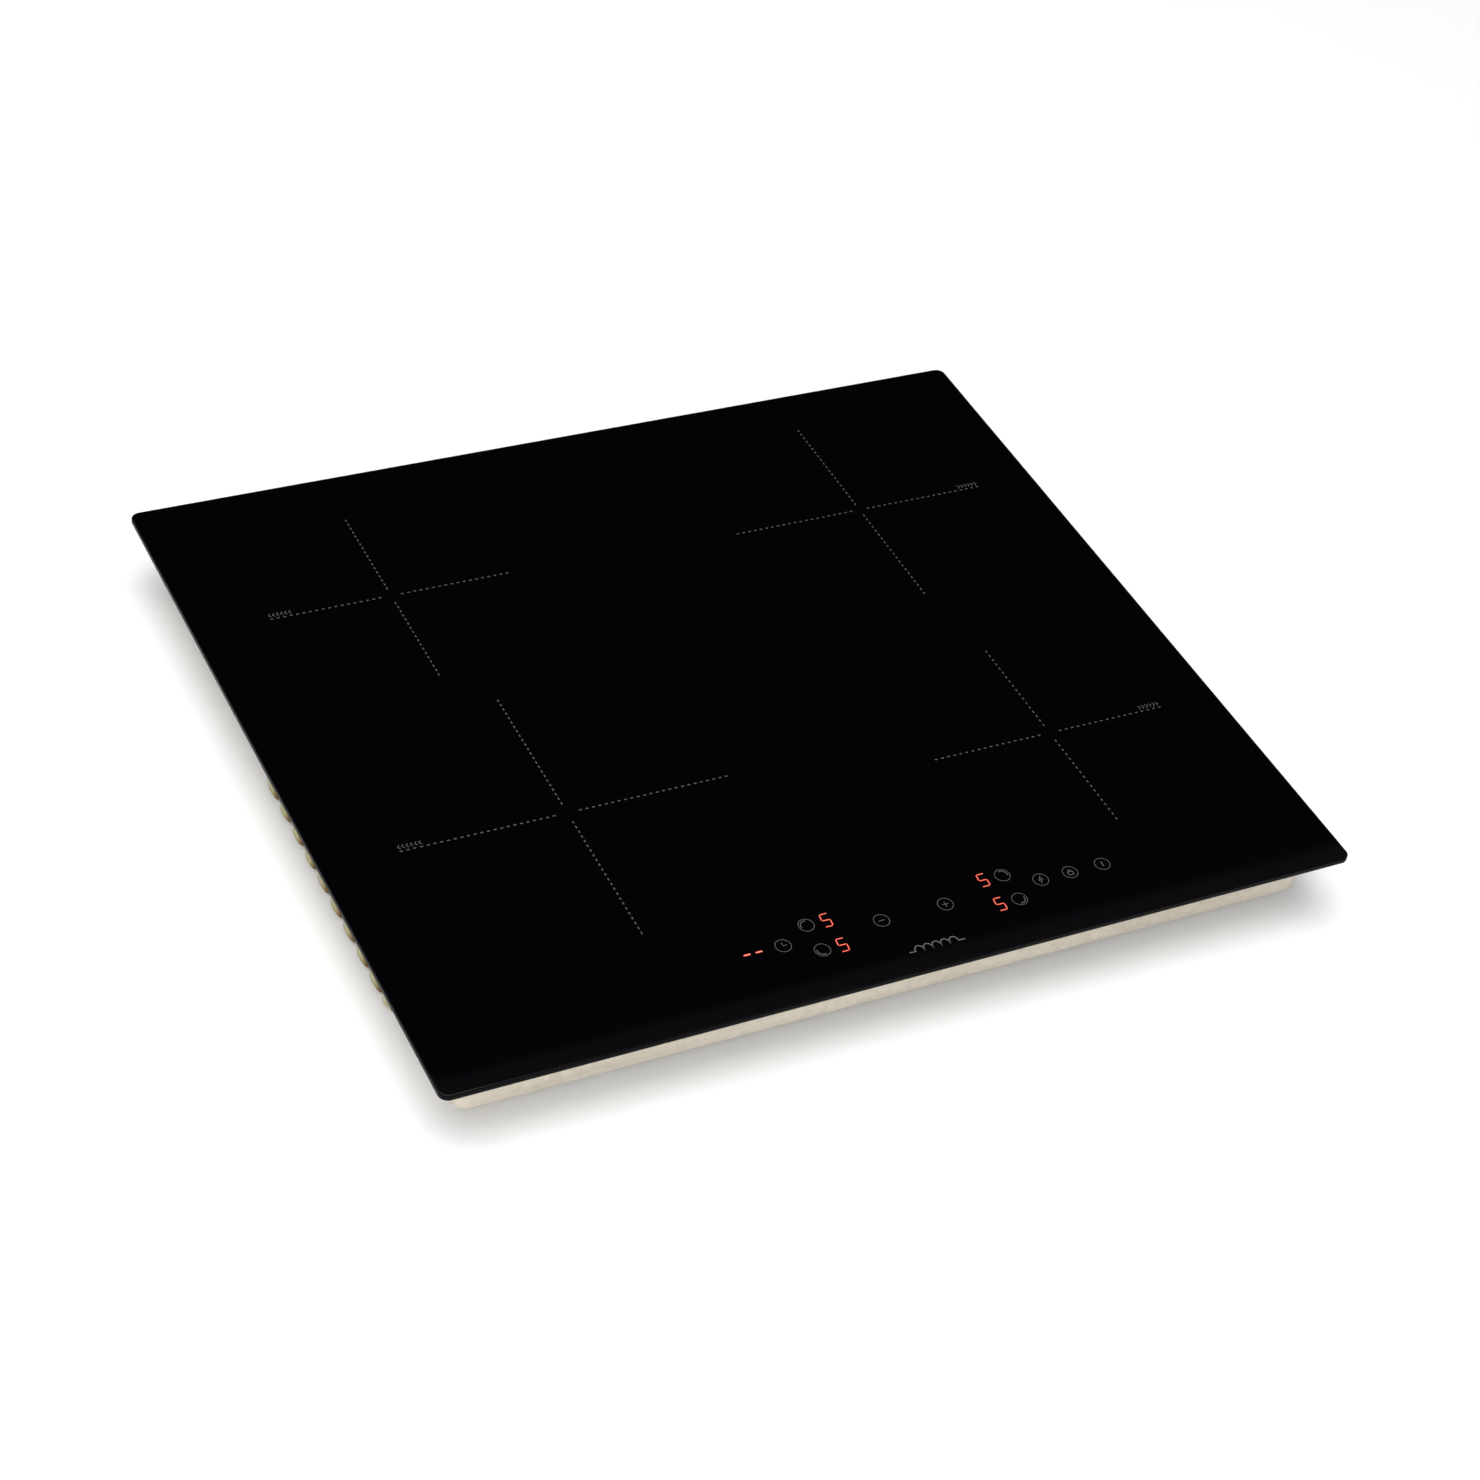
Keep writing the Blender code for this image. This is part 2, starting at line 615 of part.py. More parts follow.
# ---------------------------------------------------------------- coils and their carriers
def make_zone(name, carrier):
    x, y, outer, inner = ZONES[name]
    former_outer = outer + FORMER_RIM
    former_inner = SENSOR_HOLE
    former = turned(f"coil_former_{name}", (
        (former_outer, FORMER_TOP + FORMER_LIP), (former_outer, FORMER_BOTTOM),
        (former_inner, FORMER_BOTTOM), (former_inner, FORMER_TOP + FORMER_LIP),
        (former_inner + FORMER_SLEEVE, FORMER_TOP + FORMER_LIP),
        (former_inner + FORMER_SLEEVE, FORMER_TOP),
        (outer + GAP, FORMER_TOP), (outer + GAP, FORMER_TOP + FORMER_LIP)),
        "white_former", (x, y, 0))
    cut(former, ferrite_bars(name, GAP, FORMER_BOTTOM - CUT_THROUGH, FERRITE_TOP + GAP), (x, y, 0))

    low, high = WINDING_TOP - WINDING_HEIGHT, WINDING_TOP
    winding = turned(f"coil_winding_{name}", (
        (outer - WINDING_ROUND, high), (outer, high - WINDING_ROUND), (outer, low + WINDING_ROUND),
        (outer - WINDING_ROUND, low), (inner, low), (inner, high)), "copper_litz", (x, y, 0))

    ferrite = part(f"ferrite_set_{name}", ferrite_bars(name, 0, FERRITE_BOTTOM, FERRITE_TOP),
                   "ferrite", (x, y, 0))
    ring = (outer + inner) / 2
    fuse(ferrite, hoop(ring + 0.003, ring - 0.003, (FERRITE_BOTTOM + 0.0001, FORMER_BOTTOM - GAP)),
         (x, y, 0))

    sensor = part(f"temperature_sensor_{name}", sensor_shape(), "silicone_rubber", (x, y, 0),
                  smooth=True)
    for piece in (former, winding, ferrite, sensor):
        hang(piece, carrier)


def ferrite_bars(name, clearance, low, high):
    """Radial bars under a coil, round the zone's middle."""
    _, _, outer, inner = ZONES[name]
    bm = bmesh.new()
    for i in range(FERRITE_COUNT):
        turn = Matrix.Rotation(2 * math.pi * (i + 0.5) / FERRITE_COUNT, 4, "Z")
        bar = box((inner + 0.001 - clearance, outer - 0.002 + clearance),
                  centred(FERRITE_WIDTH + 2 * clearance), (low, high))
        bar.transform(turn)
        append(bm, bar)
    return bm


def hoop(outer, inner, z, segments=20):
    """A flat round ring as a bmesh: two walls and the faces that join them."""
    bm = bmesh.new()
    rows = [[bm.verts.new((r * math.cos(a), r * math.sin(a), h))
             for a in (2 * math.pi * i / segments for i in range(segments))]
            for r, h in ((outer, z[1]), (outer, z[0]), (inner, z[0]), (inner, z[1]))]
    for row, below in zip(rows, rows[1:] + rows[:1]):
        for i in range(segments):
            j = (i + 1) % segments
            bm.faces.new((row[i], below[i], below[j], row[j]))
    bmesh.ops.recalc_face_normals(bm, faces=bm.faces)
    return bm


def sensor_shape():
    """The rubber plug that holds the temperature sensor against the glass, as one stepped rod."""
    bm = bmesh.new()
    bottom = CARRIER_TOP + GAP
    bmesh.ops.create_cone(
        bm, cap_ends=True, segments=20, radius1=SENSOR_RADIUS, radius2=SENSOR_RADIUS * 0.55,
        depth=WINDING_TOP - bottom, matrix=Matrix.Translation((0, 0, (WINDING_TOP + bottom) / 2)))
    return bm


def make_carrier(side_name):
    """An aluminium plate with two coils on it, pushed up by three springs."""
    limits = CARRIER_X[side_name]
    carrier = joint_empty(f"coil_carrier_{side_name}_slide", (sum(limits) / 2, 0, CARRIER_BOTTOM))
    plate = part(f"coil_carrier_{side_name}", box(limits, CARRIER_Y, (CARRIER_BOTTOM, CARRIER_TOP),
                                                  CARRIER_CORNER), "aluminium_sheet")
    holes = bmesh.new()
    names = [name for name in ZONES if name.startswith(side_name)]
    for name in names:
        x, y, _, _ = ZONES[name]
        add_rod(holes, (x, y), SENSOR_RADIUS / 2, (CARRIER_BOTTOM - CUT_THROUGH,
                                                   CARRIER_TOP + CUT_THROUGH))
    cut(plate, holes)
    hang(plate, carrier)
    for name in names:
        make_zone(name, carrier)
    hang(make_coil_leads(side_name), carrier)
    for i, x in enumerate(FRONT_SPRINGS_X[side_name]):
        make_spring(f"carrier_spring_{side_name}_{i + 1}", x, SPRING_Y[0])
    make_spring(f"carrier_spring_{side_name}_3", REAR_SPRING_X[side_name], SPRING_Y[1])


def make_spring(name, x, y):
    low = LEDGE_Z + SHEET + GAP + SPRING_WIRE
    high = CARRIER_BOTTOM - GAP - SPRING_WIRE
    steps = 7 * SPRING_TURNS
    points = []
    for i in range(steps + 1):
        angle = 2 * math.pi * SPRING_TURNS * i / steps
        points.append((x + SPRING_RADIUS * math.cos(angle), y + SPRING_RADIUS * math.sin(angle),
                       low + (high - low) * i / steps))
    tube(name, points, SPRING_WIRE, "spring_steel", 0)


def make_coil_leads(side_name):
    """Two coils' leads, run over the carrier and tied together where they drop to the board."""
    radius = 0.0024
    over = CARRIER_TOP + GAP + radius
    edge = min(CARRIER_X[side_name], key=abs)
    side = SIDES[side_name]
    beside = edge - side * 0.009  # clear of the carrier's inner edge
    drop = [(beside, POWER_BOARD_Y + 0.034, over - 0.006),
            (beside, POWER_BOARD_Y + 0.012, BOARD_TOP + 0.012),
            (beside + side * 0.012, POWER_BOARD_Y, BOARD_TOP + 0.008)]
    leads = []
    for end in ("rear", "front"):
        x, y, outer, _ = ZONES[f"{side_name}_{end}"]
        start_x = x - side * (outer + FORMER_RIM + radius + 0.001)
        start = (start_x, y, over)
        if end == "rear":
            route = [start, (beside + side * 0.006, y - 0.040, over), (beside, 0.030, over)]
        else:
            route = [start, (beside + side * 0.002, y + 0.012, over + 0.001),
                     (beside - side * 0.0005, y + 0.030, over)]
        leads.append([*route, *drop])
    rear = to_mesh(tube(f"coil_leads_{side_name}", smooth_route(leads[0], 3), radius, "cable_jacket", 1))
    front = to_mesh(tube(f"coil_lead_front_{side_name}", smooth_route(leads[1], 3), radius,
                         "cable_jacket", 1))
    join = rear.modifiers.new("tie", "BOOLEAN")
    join.operation = "UNION"
    join.object = front
    bpy.data.collections["induction_cooktop"].objects.unlink(front)
    bpy.data.collections["cutters"].objects.link(front)
    front.hide_render = True
    front.display_type = "WIRE"
    return rear


def make_mica():
    x_limits = (CARRIER_X["left"][0], CARRIER_X["right"][1])
    y_limits = (HOLDER_Y[1] + 0.005, CARRIER_Y[1])
    sheet = part("mica_sheet", box(x_limits, y_limits, (MICA_TOP - MICA_THICKNESS, MICA_TOP),
                                   CARRIER_CORNER), "mica")
    holes = bmesh.new()
    for x, y, _, _ in ZONES.values():
        add_rod(holes, (x, y), SENSOR_RADIUS * 0.7, (MICA_TOP - CUT_THROUGH,
                                                    MICA_TOP + CUT_THROUGH))
    cut(sheet, holes)


# ---------------------------------------------------------------- electronics
def make_board(name, middle, size, components):
    """A circuit board on four feet, with its soldered components joined to it."""
    x, y = middle
    half_x, half_y = size[0] / 2, size[1] / 2
    board = part(name, box((x - half_x, x + half_x), (y - half_y, y + half_y),
                           (BOARD_BOTTOM, BOARD_TOP)), "circuit_board")
    extras = bmesh.new()
    inset, foot = 0.006, 0.003
    for sx in (-1, 1):
        for sy in (-1, 1):
            add_rod(extras, (x + sx * (half_x - inset), y + sy * (half_y - inset)), foot,
                    (SHEET + GAP, BOARD_BOTTOM + BOARD_THICKNESS / 2), 10)
    overlap = BOARD_TOP - BOARD_THICKNESS / 2
    for dx, dy, sx, sy, height in components:
        top = BOARD_TOP + height
        if sy:
            add_box(extras, (x + dx - sx / 2, x + dx + sx / 2), (y + dy - sy / 2, y + dy + sy / 2),
                    (overlap, top))
        else:
            add_rod(extras, (x + dx, y + dy), sx / 2, (overlap, top))
    fuse(board, extras)
    return board


def make_power_boards():
    # (x, y from the board's middle, size x, size y or 0 for a round one, height)
    components = (
        (-0.070, -0.066, 0.030, 0.014, 0.018), (-0.028, -0.066, 0.030, 0.014, 0.018),
        (0.012, -0.066, 0.026, 0.012, 0.014), (0.058, -0.062, 0.024, 0, 0.012),
        (-0.078, 0.068, 0.018, 0, 0.020), (-0.050, 0.068, 0.018, 0, 0.020),
        (0.010, 0.066, 0.034, 0.028, 0.019), (0.072, 0.062, 0.028, 0.010, 0.006),
        (0.088, 0.004, 0.008, 0.030, 0.0045), (0.060, 0.010, 0.018, 0.018, 0.003),
    )
    for side_name, side in SIDES.items():
        mirrored = [(-side * dx, dy, sx, sy, h) for dx, dy, sx, sy, h in components]
        make_board(f"power_board_{side_name}", (side * POWER_BOARD_X, POWER_BOARD_Y), POWER_BOARD,
                   mirrored)
        make_heat_sink(side_name)


def make_heat_sink(side_name):
    """Extruded aluminium: a base with upright fins that run towards the air outlets."""
    length, width, height = SINK_SIZE
    x = SIDES[side_name] * (POWER_BOARD_X + 0.018)
    bottom = BOARD_TOP + GAP
    y0 = POWER_BOARD_Y - width / 2
    limits = (x - length / 2, x + length / 2)
    sink = part(f"heat_sink_{side_name}", box(limits, (y0, y0 + width),
                                              (bottom, bottom + SINK_BASE)), "aluminium_sheet")
    fins = bmesh.new()
    pitch = (width - SINK_FIN) / (SINK_FINS - 1)
    for i in range(SINK_FINS):
        start = y0 + i * pitch
        inset = 0.0002 if i in (0, SINK_FINS - 1) else 0
        low = start + (inset if i == 0 else 0)
        high = start + SINK_FIN - (inset if i == SINK_FINS - 1 else 0)
        add_box(fins, (limits[0] + 0.0002, limits[1] - 0.0002), (low, high),
                (bottom + SINK_BASE / 2, bottom + height))
    fuse(sink, fins)


def make_fans():
    for side_name, side in SIDES.items():
        make_fan_housing(side_name, side * FAN_X)
        make_rotor(side_name, side * FAN_X)


def make_fan_housing(side_name, x):
    """A low square case: air comes in through its round floor hole and leaves at the front."""
    half = FAN_SIDE / 2
    low = SHEET + GAP
    high = low + FAN_HEIGHT
    housing = part(f"fan_housing_{side_name}", box((x - half, x + half), (FAN_Y - half, FAN_Y + half),
                                                   (low, high), 0.006), "black_plastic")
    inner = half - FAN_WALL
    cut(housing, box((x - inner, x + inner), (FAN_Y - half - CUT_THROUGH, FAN_Y + inner),
                     (low + FAN_WALL, high - FAN_WALL), 0.004))
    cut(housing, rod((x, FAN_Y), FAN_INLET, (low - CUT_THROUGH, low + FAN_WALL + CUT_THROUGH), 28))
    fuse(housing, rod((x, FAN_Y), SHAFT_RADIUS, (low + 0.004, high - FAN_WALL / 2), 12))


def make_rotor(side_name, x):
    """Radial impeller: a disc, a hub on the housing's shaft and upright blades round the rim."""
    low = SHEET + GAP + FAN_WALL + ROTOR_LIFT
    high = low + ROTOR_HEIGHT
    disc = 0.0014
    bm = bmesh.new()
    add_rod(bm, (0, 0), ROTOR_RADIUS, (high - disc, high), 32)
    rotor = part(f"fan_rotor_{side_name}", bm, "black_plastic", (x, FAN_Y, 0), smooth=True)
    fuse(rotor, rod((0, 0), HUB_RADIUS, (low + 0.002, high - disc / 2), 20), (x, FAN_Y, 0))
    blades = bmesh.new()
    for i in range(ROTOR_BLADES):
        angle = 2 * math.pi * i / ROTOR_BLADES
        blade = box((0.0205, ROTOR_RADIUS - 0.001), centred(0.0012), (low, high - disc / 2))
        lean = Matrix.Rotation(math.radians(28), 4, "Z")
        pivot = Matrix.Translation((0.027, 0, 0))
        blade.transform(Matrix.Rotation(angle, 4, "Z") @ pivot @ lean @ pivot.inverted())
        append(blades, blade)
    fuse(rotor, blades, (x, FAN_Y, 0))
    cut(rotor, rod((0, 0), SHAFT_RADIUS + HOLE_CLEARANCE, (low - CUT_THROUGH, high + CUT_THROUGH),
                   12), (x, FAN_Y, 0))


def make_filter():
    components = (
        (0.0, 0.032, 0.030, 0, 0.016), (0.0, -0.006, 0.034, 0.022, 0.018),
        (-0.012, -0.036, 0.018, 0.012, 0.014), (0.014, -0.036, 0.018, 0.012, 0.014),
    )
    make_board("filter_board", (FILTER_X, FILTER_Y), FILTER_BOARD, components)


# ---------------------------------------------------------------- touch controls
def make_controls():
    x0, x1, y0, y1 = *HOLDER_X, *HOLDER_Y
    holder = part("control_holder", box((x0, x1), (y0, y1), (HOLDER_BOTTOM, HOLDER_TOP)),
                  "black_plastic")
    wall = HOLDER_WALL
    cut(holder, box((x0 + wall, x1 - wall), (y0 + wall, y1 - wall),
                    (HOLDER_BOTTOM + wall, HOLDER_TOP + CUT_THROUGH)))

    board_low = HOLDER_BOTTOM + wall + GAP
    board_high = board_low + BOARD_THICKNESS
    edge = wall + GAP
    board = part("control_board", box((x0 + edge, x1 - edge), (y0 + edge, y1 - edge),
                                      (board_low, board_high)), "circuit_board")
    pads = bmesh.new()
    for x, y in KEYS:
        add_rod(pads, (x, y), PAD_RADIUS, (board_high - BOARD_THICKNESS / 2,
                                           GLASS_UNDER - GAP), 8)
    fuse(board, pads)

    low = board_high + GAP
    top = low + DISPLAY_HEIGHT
    x, y, sx, sy = TIMER_DISPLAY
    part("display_timer", box((x - sx / 2, x + sx / 2), (y - sy / 2, y + sy / 2), (low, top)),
         "red_display")
    for name, x in (("display_left_zones", LEFT_DIGITS_X), ("display_right_zones", RIGHT_DIGITS_X)):
        middle = (KEY_REAR_Y + KEY_FRONT_Y) / 2
        part(name, box((x - DIGIT_PAIR[0] / 2, x + DIGIT_PAIR[0] / 2),
                       (middle - DIGIT_PAIR[1] / 2, middle + DIGIT_PAIR[1] / 2), (low, top)),
             "red_display")


def make_ribbon():
    """Flat cable from the control board down to the left power board."""
    width, thickness, x = 0.018, 0.0009, -0.085
    plug_y = sum(HOLDER_Y) / 2 + 0.006
    board_y = POWER_BOARD_Y - POWER_BOARD[1] / 2 + 0.006
    sill = LEDGE_Z + SHEET
    route = smooth_route([
        (plug_y, HOLDER_BOTTOM - GAP - thickness / 2), (plug_y + 0.006, HOLDER_BOTTOM - 0.003),
        (SUMP_FRONT - 0.030, sill + 0.010), (SUMP_FRONT - 0.010, sill + 0.0035),
        (SUMP_FRONT + 0.004, sill + 0.002), (board_y, BOARD_TOP + GAP + thickness)])
    bm = bmesh.new()
    rows = [[bm.verts.new((x + s * width / 2, y, z)) for s in (-1, 1)] for y, z in route]
    for a, b in zip(rows, rows[1:]):
        bm.faces.new((a[0], a[1], b[1], b[0]))
    ribbon = part("ribbon_cable", bm, "grey_plastic")
    solid = ribbon.modifiers.new("thickness", "SOLIDIFY")
    solid.thickness = thickness
    solid.offset = 0


# ---------------------------------------------------------------- mains terminal
def make_terminal():
    half = TERMINAL_WIDTH / 2
    back = CASE_BACK + TERMINAL_PROUD
    front = CASE_BACK - TERMINAL_LENGTH
    wall = TERMINAL_WALL
    shell = part("terminal_box", box((TERMINAL_X - half, TERMINAL_X + half), (front, back),
                                     (TERMINAL_BOTTOM, TERMINAL_TOP)), "black_plastic")
    inner_x = (TERMINAL_X - half + wall, TERMINAL_X + half - wall)
    inner_z = (TERMINAL_BOTTOM + wall, TERMINAL_TOP - wall)
    cut(shell, box(inner_x, (front + wall, back + CUT_THROUGH), inner_z))
    # hinge of the lid: its barrel lies just under the box's roof
    barrel = LID_THICKNESS / 2 + 0.0003
    axis_y = back - barrel - 0.0002
    axis_z = inner_z[1] - barrel - GAP
    cut(shell, rod((axis_y, axis_z), LID_PIN + LID_PIN_CLEARANCE,
                   (inner_x[0] - LID_PIN_LENGTH - GAP, inner_x[1] + LID_PIN_LENGTH + GAP), 12, "X"))
    wire_hole = 0.004
    cut(shell, rod((TERMINAL_X, TERMINAL_MIDDLE), wire_hole,
                   (front - CUT_THROUGH, front + wall + CUT_THROUGH), 14, "Y"))

    hinge = joint_empty("terminal_lid_hinge", (TERMINAL_X, axis_y, axis_z))
    lid_x = (inner_x[0] + GAP, inner_x[1] - GAP)
    lid = part("terminal_lid", box(lid_x, (axis_y - LID_THICKNESS / 2, axis_y + LID_THICKNESS / 2),
                                   (inner_z[0] + GAP, axis_z)), "black_plastic")
    fuse(lid, rod((axis_y, axis_z), barrel, (lid_x[0] + 0.0001, lid_x[1] - 0.0001), 16, "X"))
    fuse(lid, rod((axis_y, axis_z), LID_PIN,
                  (lid_x[0] - LID_PIN_LENGTH, lid_x[1] + LID_PIN_LENGTH), 12, "X"))
    cut(lid, box((TERMINAL_X - CABLE_SLOT / 2, TERMINAL_X + CABLE_SLOT / 2),
                 (axis_y - 2 * LID_THICKNESS, axis_y + 2 * LID_THICKNESS),
                 (inner_z[0] - CUT_THROUGH, inner_z[0] + 0.0085)))
    hang(lid, hinge)

    sx, sy, sz = TERMINAL_BLOCK
    y0 = front + wall + 0.0035
    z0 = inner_z[0] + GAP
    block = part("terminal_block", box((TERMINAL_X - sx / 2, TERMINAL_X + sx / 2), (y0, y0 + sy),
                                       (z0, z0 + sz)), "grey_plastic")
    wells = bmesh.new()
    pitch = sx / TERMINAL_POLES
    for i in range(TERMINAL_POLES):
        x = TERMINAL_X + (i - (TERMINAL_POLES - 1) / 2) * pitch
        add_rod(wells, (x, y0 + sy / 2), 0.0026, (z0 + sz * 0.55, z0 + sz + CUT_THROUGH), 12)
    cut(block, wells)


def make_mains_lead():
    """Internal lead from the terminal box to the filter board."""
    radius = 0.003
    back = CASE_BACK - TERMINAL_LENGTH - GAP - 0.0007
    height = TERMINAL_MIDDLE
    end_y = FILTER_Y + FILTER_BOARD[1] / 2 - 0.004
    route = smooth_route([(TERMINAL_X, back, height), (TERMINAL_X, back - 0.005, height - 0.0005),
                          (TERMINAL_X + 0.001, end_y + 0.004, height - 0.006),
                          (TERMINAL_X + 0.002, end_y, BOARD_TOP + radius + 0.0012)], 4)
    tube("mains_lead", route, radius, "cable_jacket")


# ---------------------------------------------------------------- swivel clamps
def make_clamps():
    for name, x, y, side, _ in clamp_places():
        make_clamp(name, x, y, -side)
        make_clamp_screw(name, x, y)


def make_clamp(name, x, y, way):
    """A cranked steel strap: its foot lies under the rim, its lower arm points along X."""
    top = LEDGE_Z - GAP
    low_top = top - CLAMP_DROP
    slope = CLAMP_DROP
    thickness = CLAMP_THICKNESS
    outline = [(-CLAMP_WIDTH / 2, top), (CLAMP_FOOT, top), (CLAMP_FOOT + slope, low_top),
               (CLAMP_REACH, low_top)]
    bm = bmesh.new()
    upper = [bm.verts.new((way * u, -CLAMP_WIDTH / 2, z)) for u, z in outline]
    lower = [bm.verts.new((way * u, -CLAMP_WIDTH / 2, z - thickness)) for u, z in outline]
    face = bm.faces.new([*upper, *reversed(lower)])
    swept = bmesh.ops.extrude_face_region(bm, geom=[face])["geom"]
    bmesh.ops.translate(bm, vec=(0, CLAMP_WIDTH, 0),
                        verts=[v for v in swept if isinstance(v, bmesh.types.BMVert)])
    pivot = joint_empty(f"clamp_{name}_swivel", (x, y, top))
    clamp = part(f"clamp_{name}", bm, "zinc_screw", (x, y, 0))
    cut(clamp, rod((0, 0), SCREW_RADIUS + HOLE_CLEARANCE, (top - thickness - CUT_THROUGH,
                                                          top + CUT_THROUGH), 12), (x, y, 0))
    hang(clamp, pivot)


def make_clamp_screw(name, x, y):
    strap_bottom = LEDGE_Z - GAP - CLAMP_THICKNESS
    head_top = strap_bottom - GAP
    bm = rod((0, 0), SCREW_HEAD, (head_top - SCREW_HEAD_HEIGHT, head_top), 16)
    screw = part(f"clamp_screw_{name}", bm, "zinc_screw", (x, y, 0), smooth=True)
    fuse(screw, rod((0, 0), SCREW_RADIUS, (head_top - SCREW_HEAD_HEIGHT / 2,
                                           LEDGE_Z + SHEET + SCREW_TIP), 12), (x, y, 0))
    slot = bmesh.new()
    depth = head_top - SCREW_HEAD_HEIGHT
    for size in ((0.0045, 0.0009), (0.0009, 0.0045)):
        add_box(slot, centred(size[0]), centred(size[1]), (depth - CUT_THROUGH, depth + 0.001))
    for piece in split_boxes(slot):
        cut(screw, piece, (x, y, 0))


def split_boxes(bm):
    """Each box of a bmesh on its own, because overlapping cutters work one at a time."""
    boxes = []
    verts = sorted(bm.verts, key=lambda v: v.index)
    for start in range(0, len(verts), 8):
        corners = [v.co for v in verts[start:start + 8]]
        limits = [(min(c[k] for c in corners), max(c[k] for c in corners)) for k in range(3)]
        boxes.append(box(*limits))
    bm.free()
    return boxes


def main():
    clear_scene()
    new_collection("induction_cooktop")
    new_collection("cutters")
    for name in MATERIALS:
        new_material(name)
    make_glass()
    make_seals()
    make_tray()
    make_mica()
    for side_name in SIDES:
        make_louvre_strip(side_name)
        make_carrier(side_name)
    make_power_boards()
    make_fans()
    make_filter()
    make_controls()
    make_ribbon()
    make_terminal()
    make_mains_lead()
    make_clamps()


main()
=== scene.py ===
# %% [markdown]
# # A built-in induction cooktop
#
# A glass-topped cooktop is mostly one dark mirror, so very little gives its size and finish away:
# the thin ground edge of the glass, the fine grey print, the red figures, and the strip of pale
# sheet metal under its front edge. This lesson loads the working model, which already has every
# part in its place, and then makes those surfaces one by one.

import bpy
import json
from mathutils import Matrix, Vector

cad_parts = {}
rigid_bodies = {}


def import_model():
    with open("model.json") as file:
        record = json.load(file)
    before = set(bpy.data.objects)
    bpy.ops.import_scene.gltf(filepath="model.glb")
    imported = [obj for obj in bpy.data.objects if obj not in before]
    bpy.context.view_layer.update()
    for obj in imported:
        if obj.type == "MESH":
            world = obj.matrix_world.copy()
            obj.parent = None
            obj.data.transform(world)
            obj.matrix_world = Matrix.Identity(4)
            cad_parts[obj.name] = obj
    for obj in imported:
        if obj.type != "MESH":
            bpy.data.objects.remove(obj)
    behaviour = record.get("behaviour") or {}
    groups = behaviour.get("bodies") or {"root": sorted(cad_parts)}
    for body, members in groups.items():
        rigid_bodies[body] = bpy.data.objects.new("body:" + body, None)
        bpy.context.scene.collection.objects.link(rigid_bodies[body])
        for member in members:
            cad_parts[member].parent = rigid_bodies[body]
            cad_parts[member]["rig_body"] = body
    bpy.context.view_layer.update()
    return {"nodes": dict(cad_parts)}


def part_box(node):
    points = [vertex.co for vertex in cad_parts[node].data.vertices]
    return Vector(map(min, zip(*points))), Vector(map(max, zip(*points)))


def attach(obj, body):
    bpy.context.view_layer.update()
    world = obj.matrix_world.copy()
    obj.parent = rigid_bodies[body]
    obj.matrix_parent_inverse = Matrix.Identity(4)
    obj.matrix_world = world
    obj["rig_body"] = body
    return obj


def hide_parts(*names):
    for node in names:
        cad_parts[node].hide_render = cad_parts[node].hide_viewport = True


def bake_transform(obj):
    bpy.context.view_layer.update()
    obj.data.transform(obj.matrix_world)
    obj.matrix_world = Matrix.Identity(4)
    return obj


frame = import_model()

# %% The rest of the tools
import json
import math

import bmesh
import bpy
from mathutils import Matrix, Vector

scene = bpy.context.scene
MILLIMETRE = 0.001

# %% [markdown]
# ## The camera
#
# A product picture of a cooktop is taken from above and to one side with a long lens, so that the
# far edge hardly shrinks. A long lens needs a distant camera: this one stands two metres off. It
# is also rolled a little, which makes the plate lie more lively in the picture. `to_track_quat`
# points a camera at a place with its head upright, and a turn about its own axis adds the roll.

# %% Place the camera
CAMERA_PLACE = Vector((-0.8208, -1.3026, 1.3382))
CAMERA_LOOK = Vector((0.40871, 0.63550, -0.65505))
CAMERA_ROLL = 10.09  # degrees
LENS = 79.44  # mm, on a 36 mm sensor


def place_camera():
    camera = bpy.data.cameras.new("camera")
    camera.lens = LENS
    camera.sensor_width = 36
    camera.clip_start = 0.05
    eye = bpy.data.objects.new("camera", camera)
    scene.collection.objects.link(eye)
    upright = CAMERA_LOOK.to_track_quat("-Z", "Y").to_matrix().to_4x4()
    roll = Matrix.Rotation(math.radians(CAMERA_ROLL), 4, "Z")
    eye.matrix_world = Matrix.Translation(CAMERA_PLACE) @ upright @ roll
    scene.camera = eye
    return eye


eye = place_camera()
print("camera looks along", [round(c, 3) for c in eye.matrix_world.to_3x3() @ Vector((0, 0, -1))])

# %% [markdown]
# ## Floor and light
#
# Black glass shows whatever it mirrors. To look black it has to mirror something black, while the
# pale metal and the floor still need plenty of light. Photographers solve this with one large
# softbox straight overhead and a dark room between it and the horizon. The world below does the
# same: its brightness depends only on how high you look. It is pale at the horizon, dark in the
# middle of the sky and bright again towards the top. A narrow, dim lamp on top of that gives the
# glass its one faint gleam.

# %% Make the floor and the room
FLOOR_SIZE = 60.0
# how bright the room is: (sine of the height angle, brightness)
ROOM = ((0.0, 0.95), (0.08, 0.8), (0.22, 0.22), (0.80, 0.16), (0.90, 2.2))
# a black flag hangs where the plate's mirror image of the camera looks
FLAG_TOWARDS = Vector((0.411, 0.633, 0.656))
FLAG_EDGES = (20, 38)  # degrees from that direction: fully black, and gone


def make_floor():
    bpy.ops.mesh.primitive_grid_add(x_subdivisions=8, y_subdivisions=8, size=FLOOR_SIZE)
    floor = bpy.context.object
    floor.name = "floor"
    floor.location.z = -0.0004
    paper = bpy.data.materials.new("white_paper_sweep")
    paper.use_nodes = True
    shader = paper.node_tree.nodes["Principled BSDF"]
    shader.inputs["Base Color"].default_value = (0.93, 0.93, 0.93, 1)
    shader.inputs["Roughness"].default_value = 0.9
    shader.inputs["Specular IOR Level"].default_value = 0.1
    floor.data.materials.append(paper)


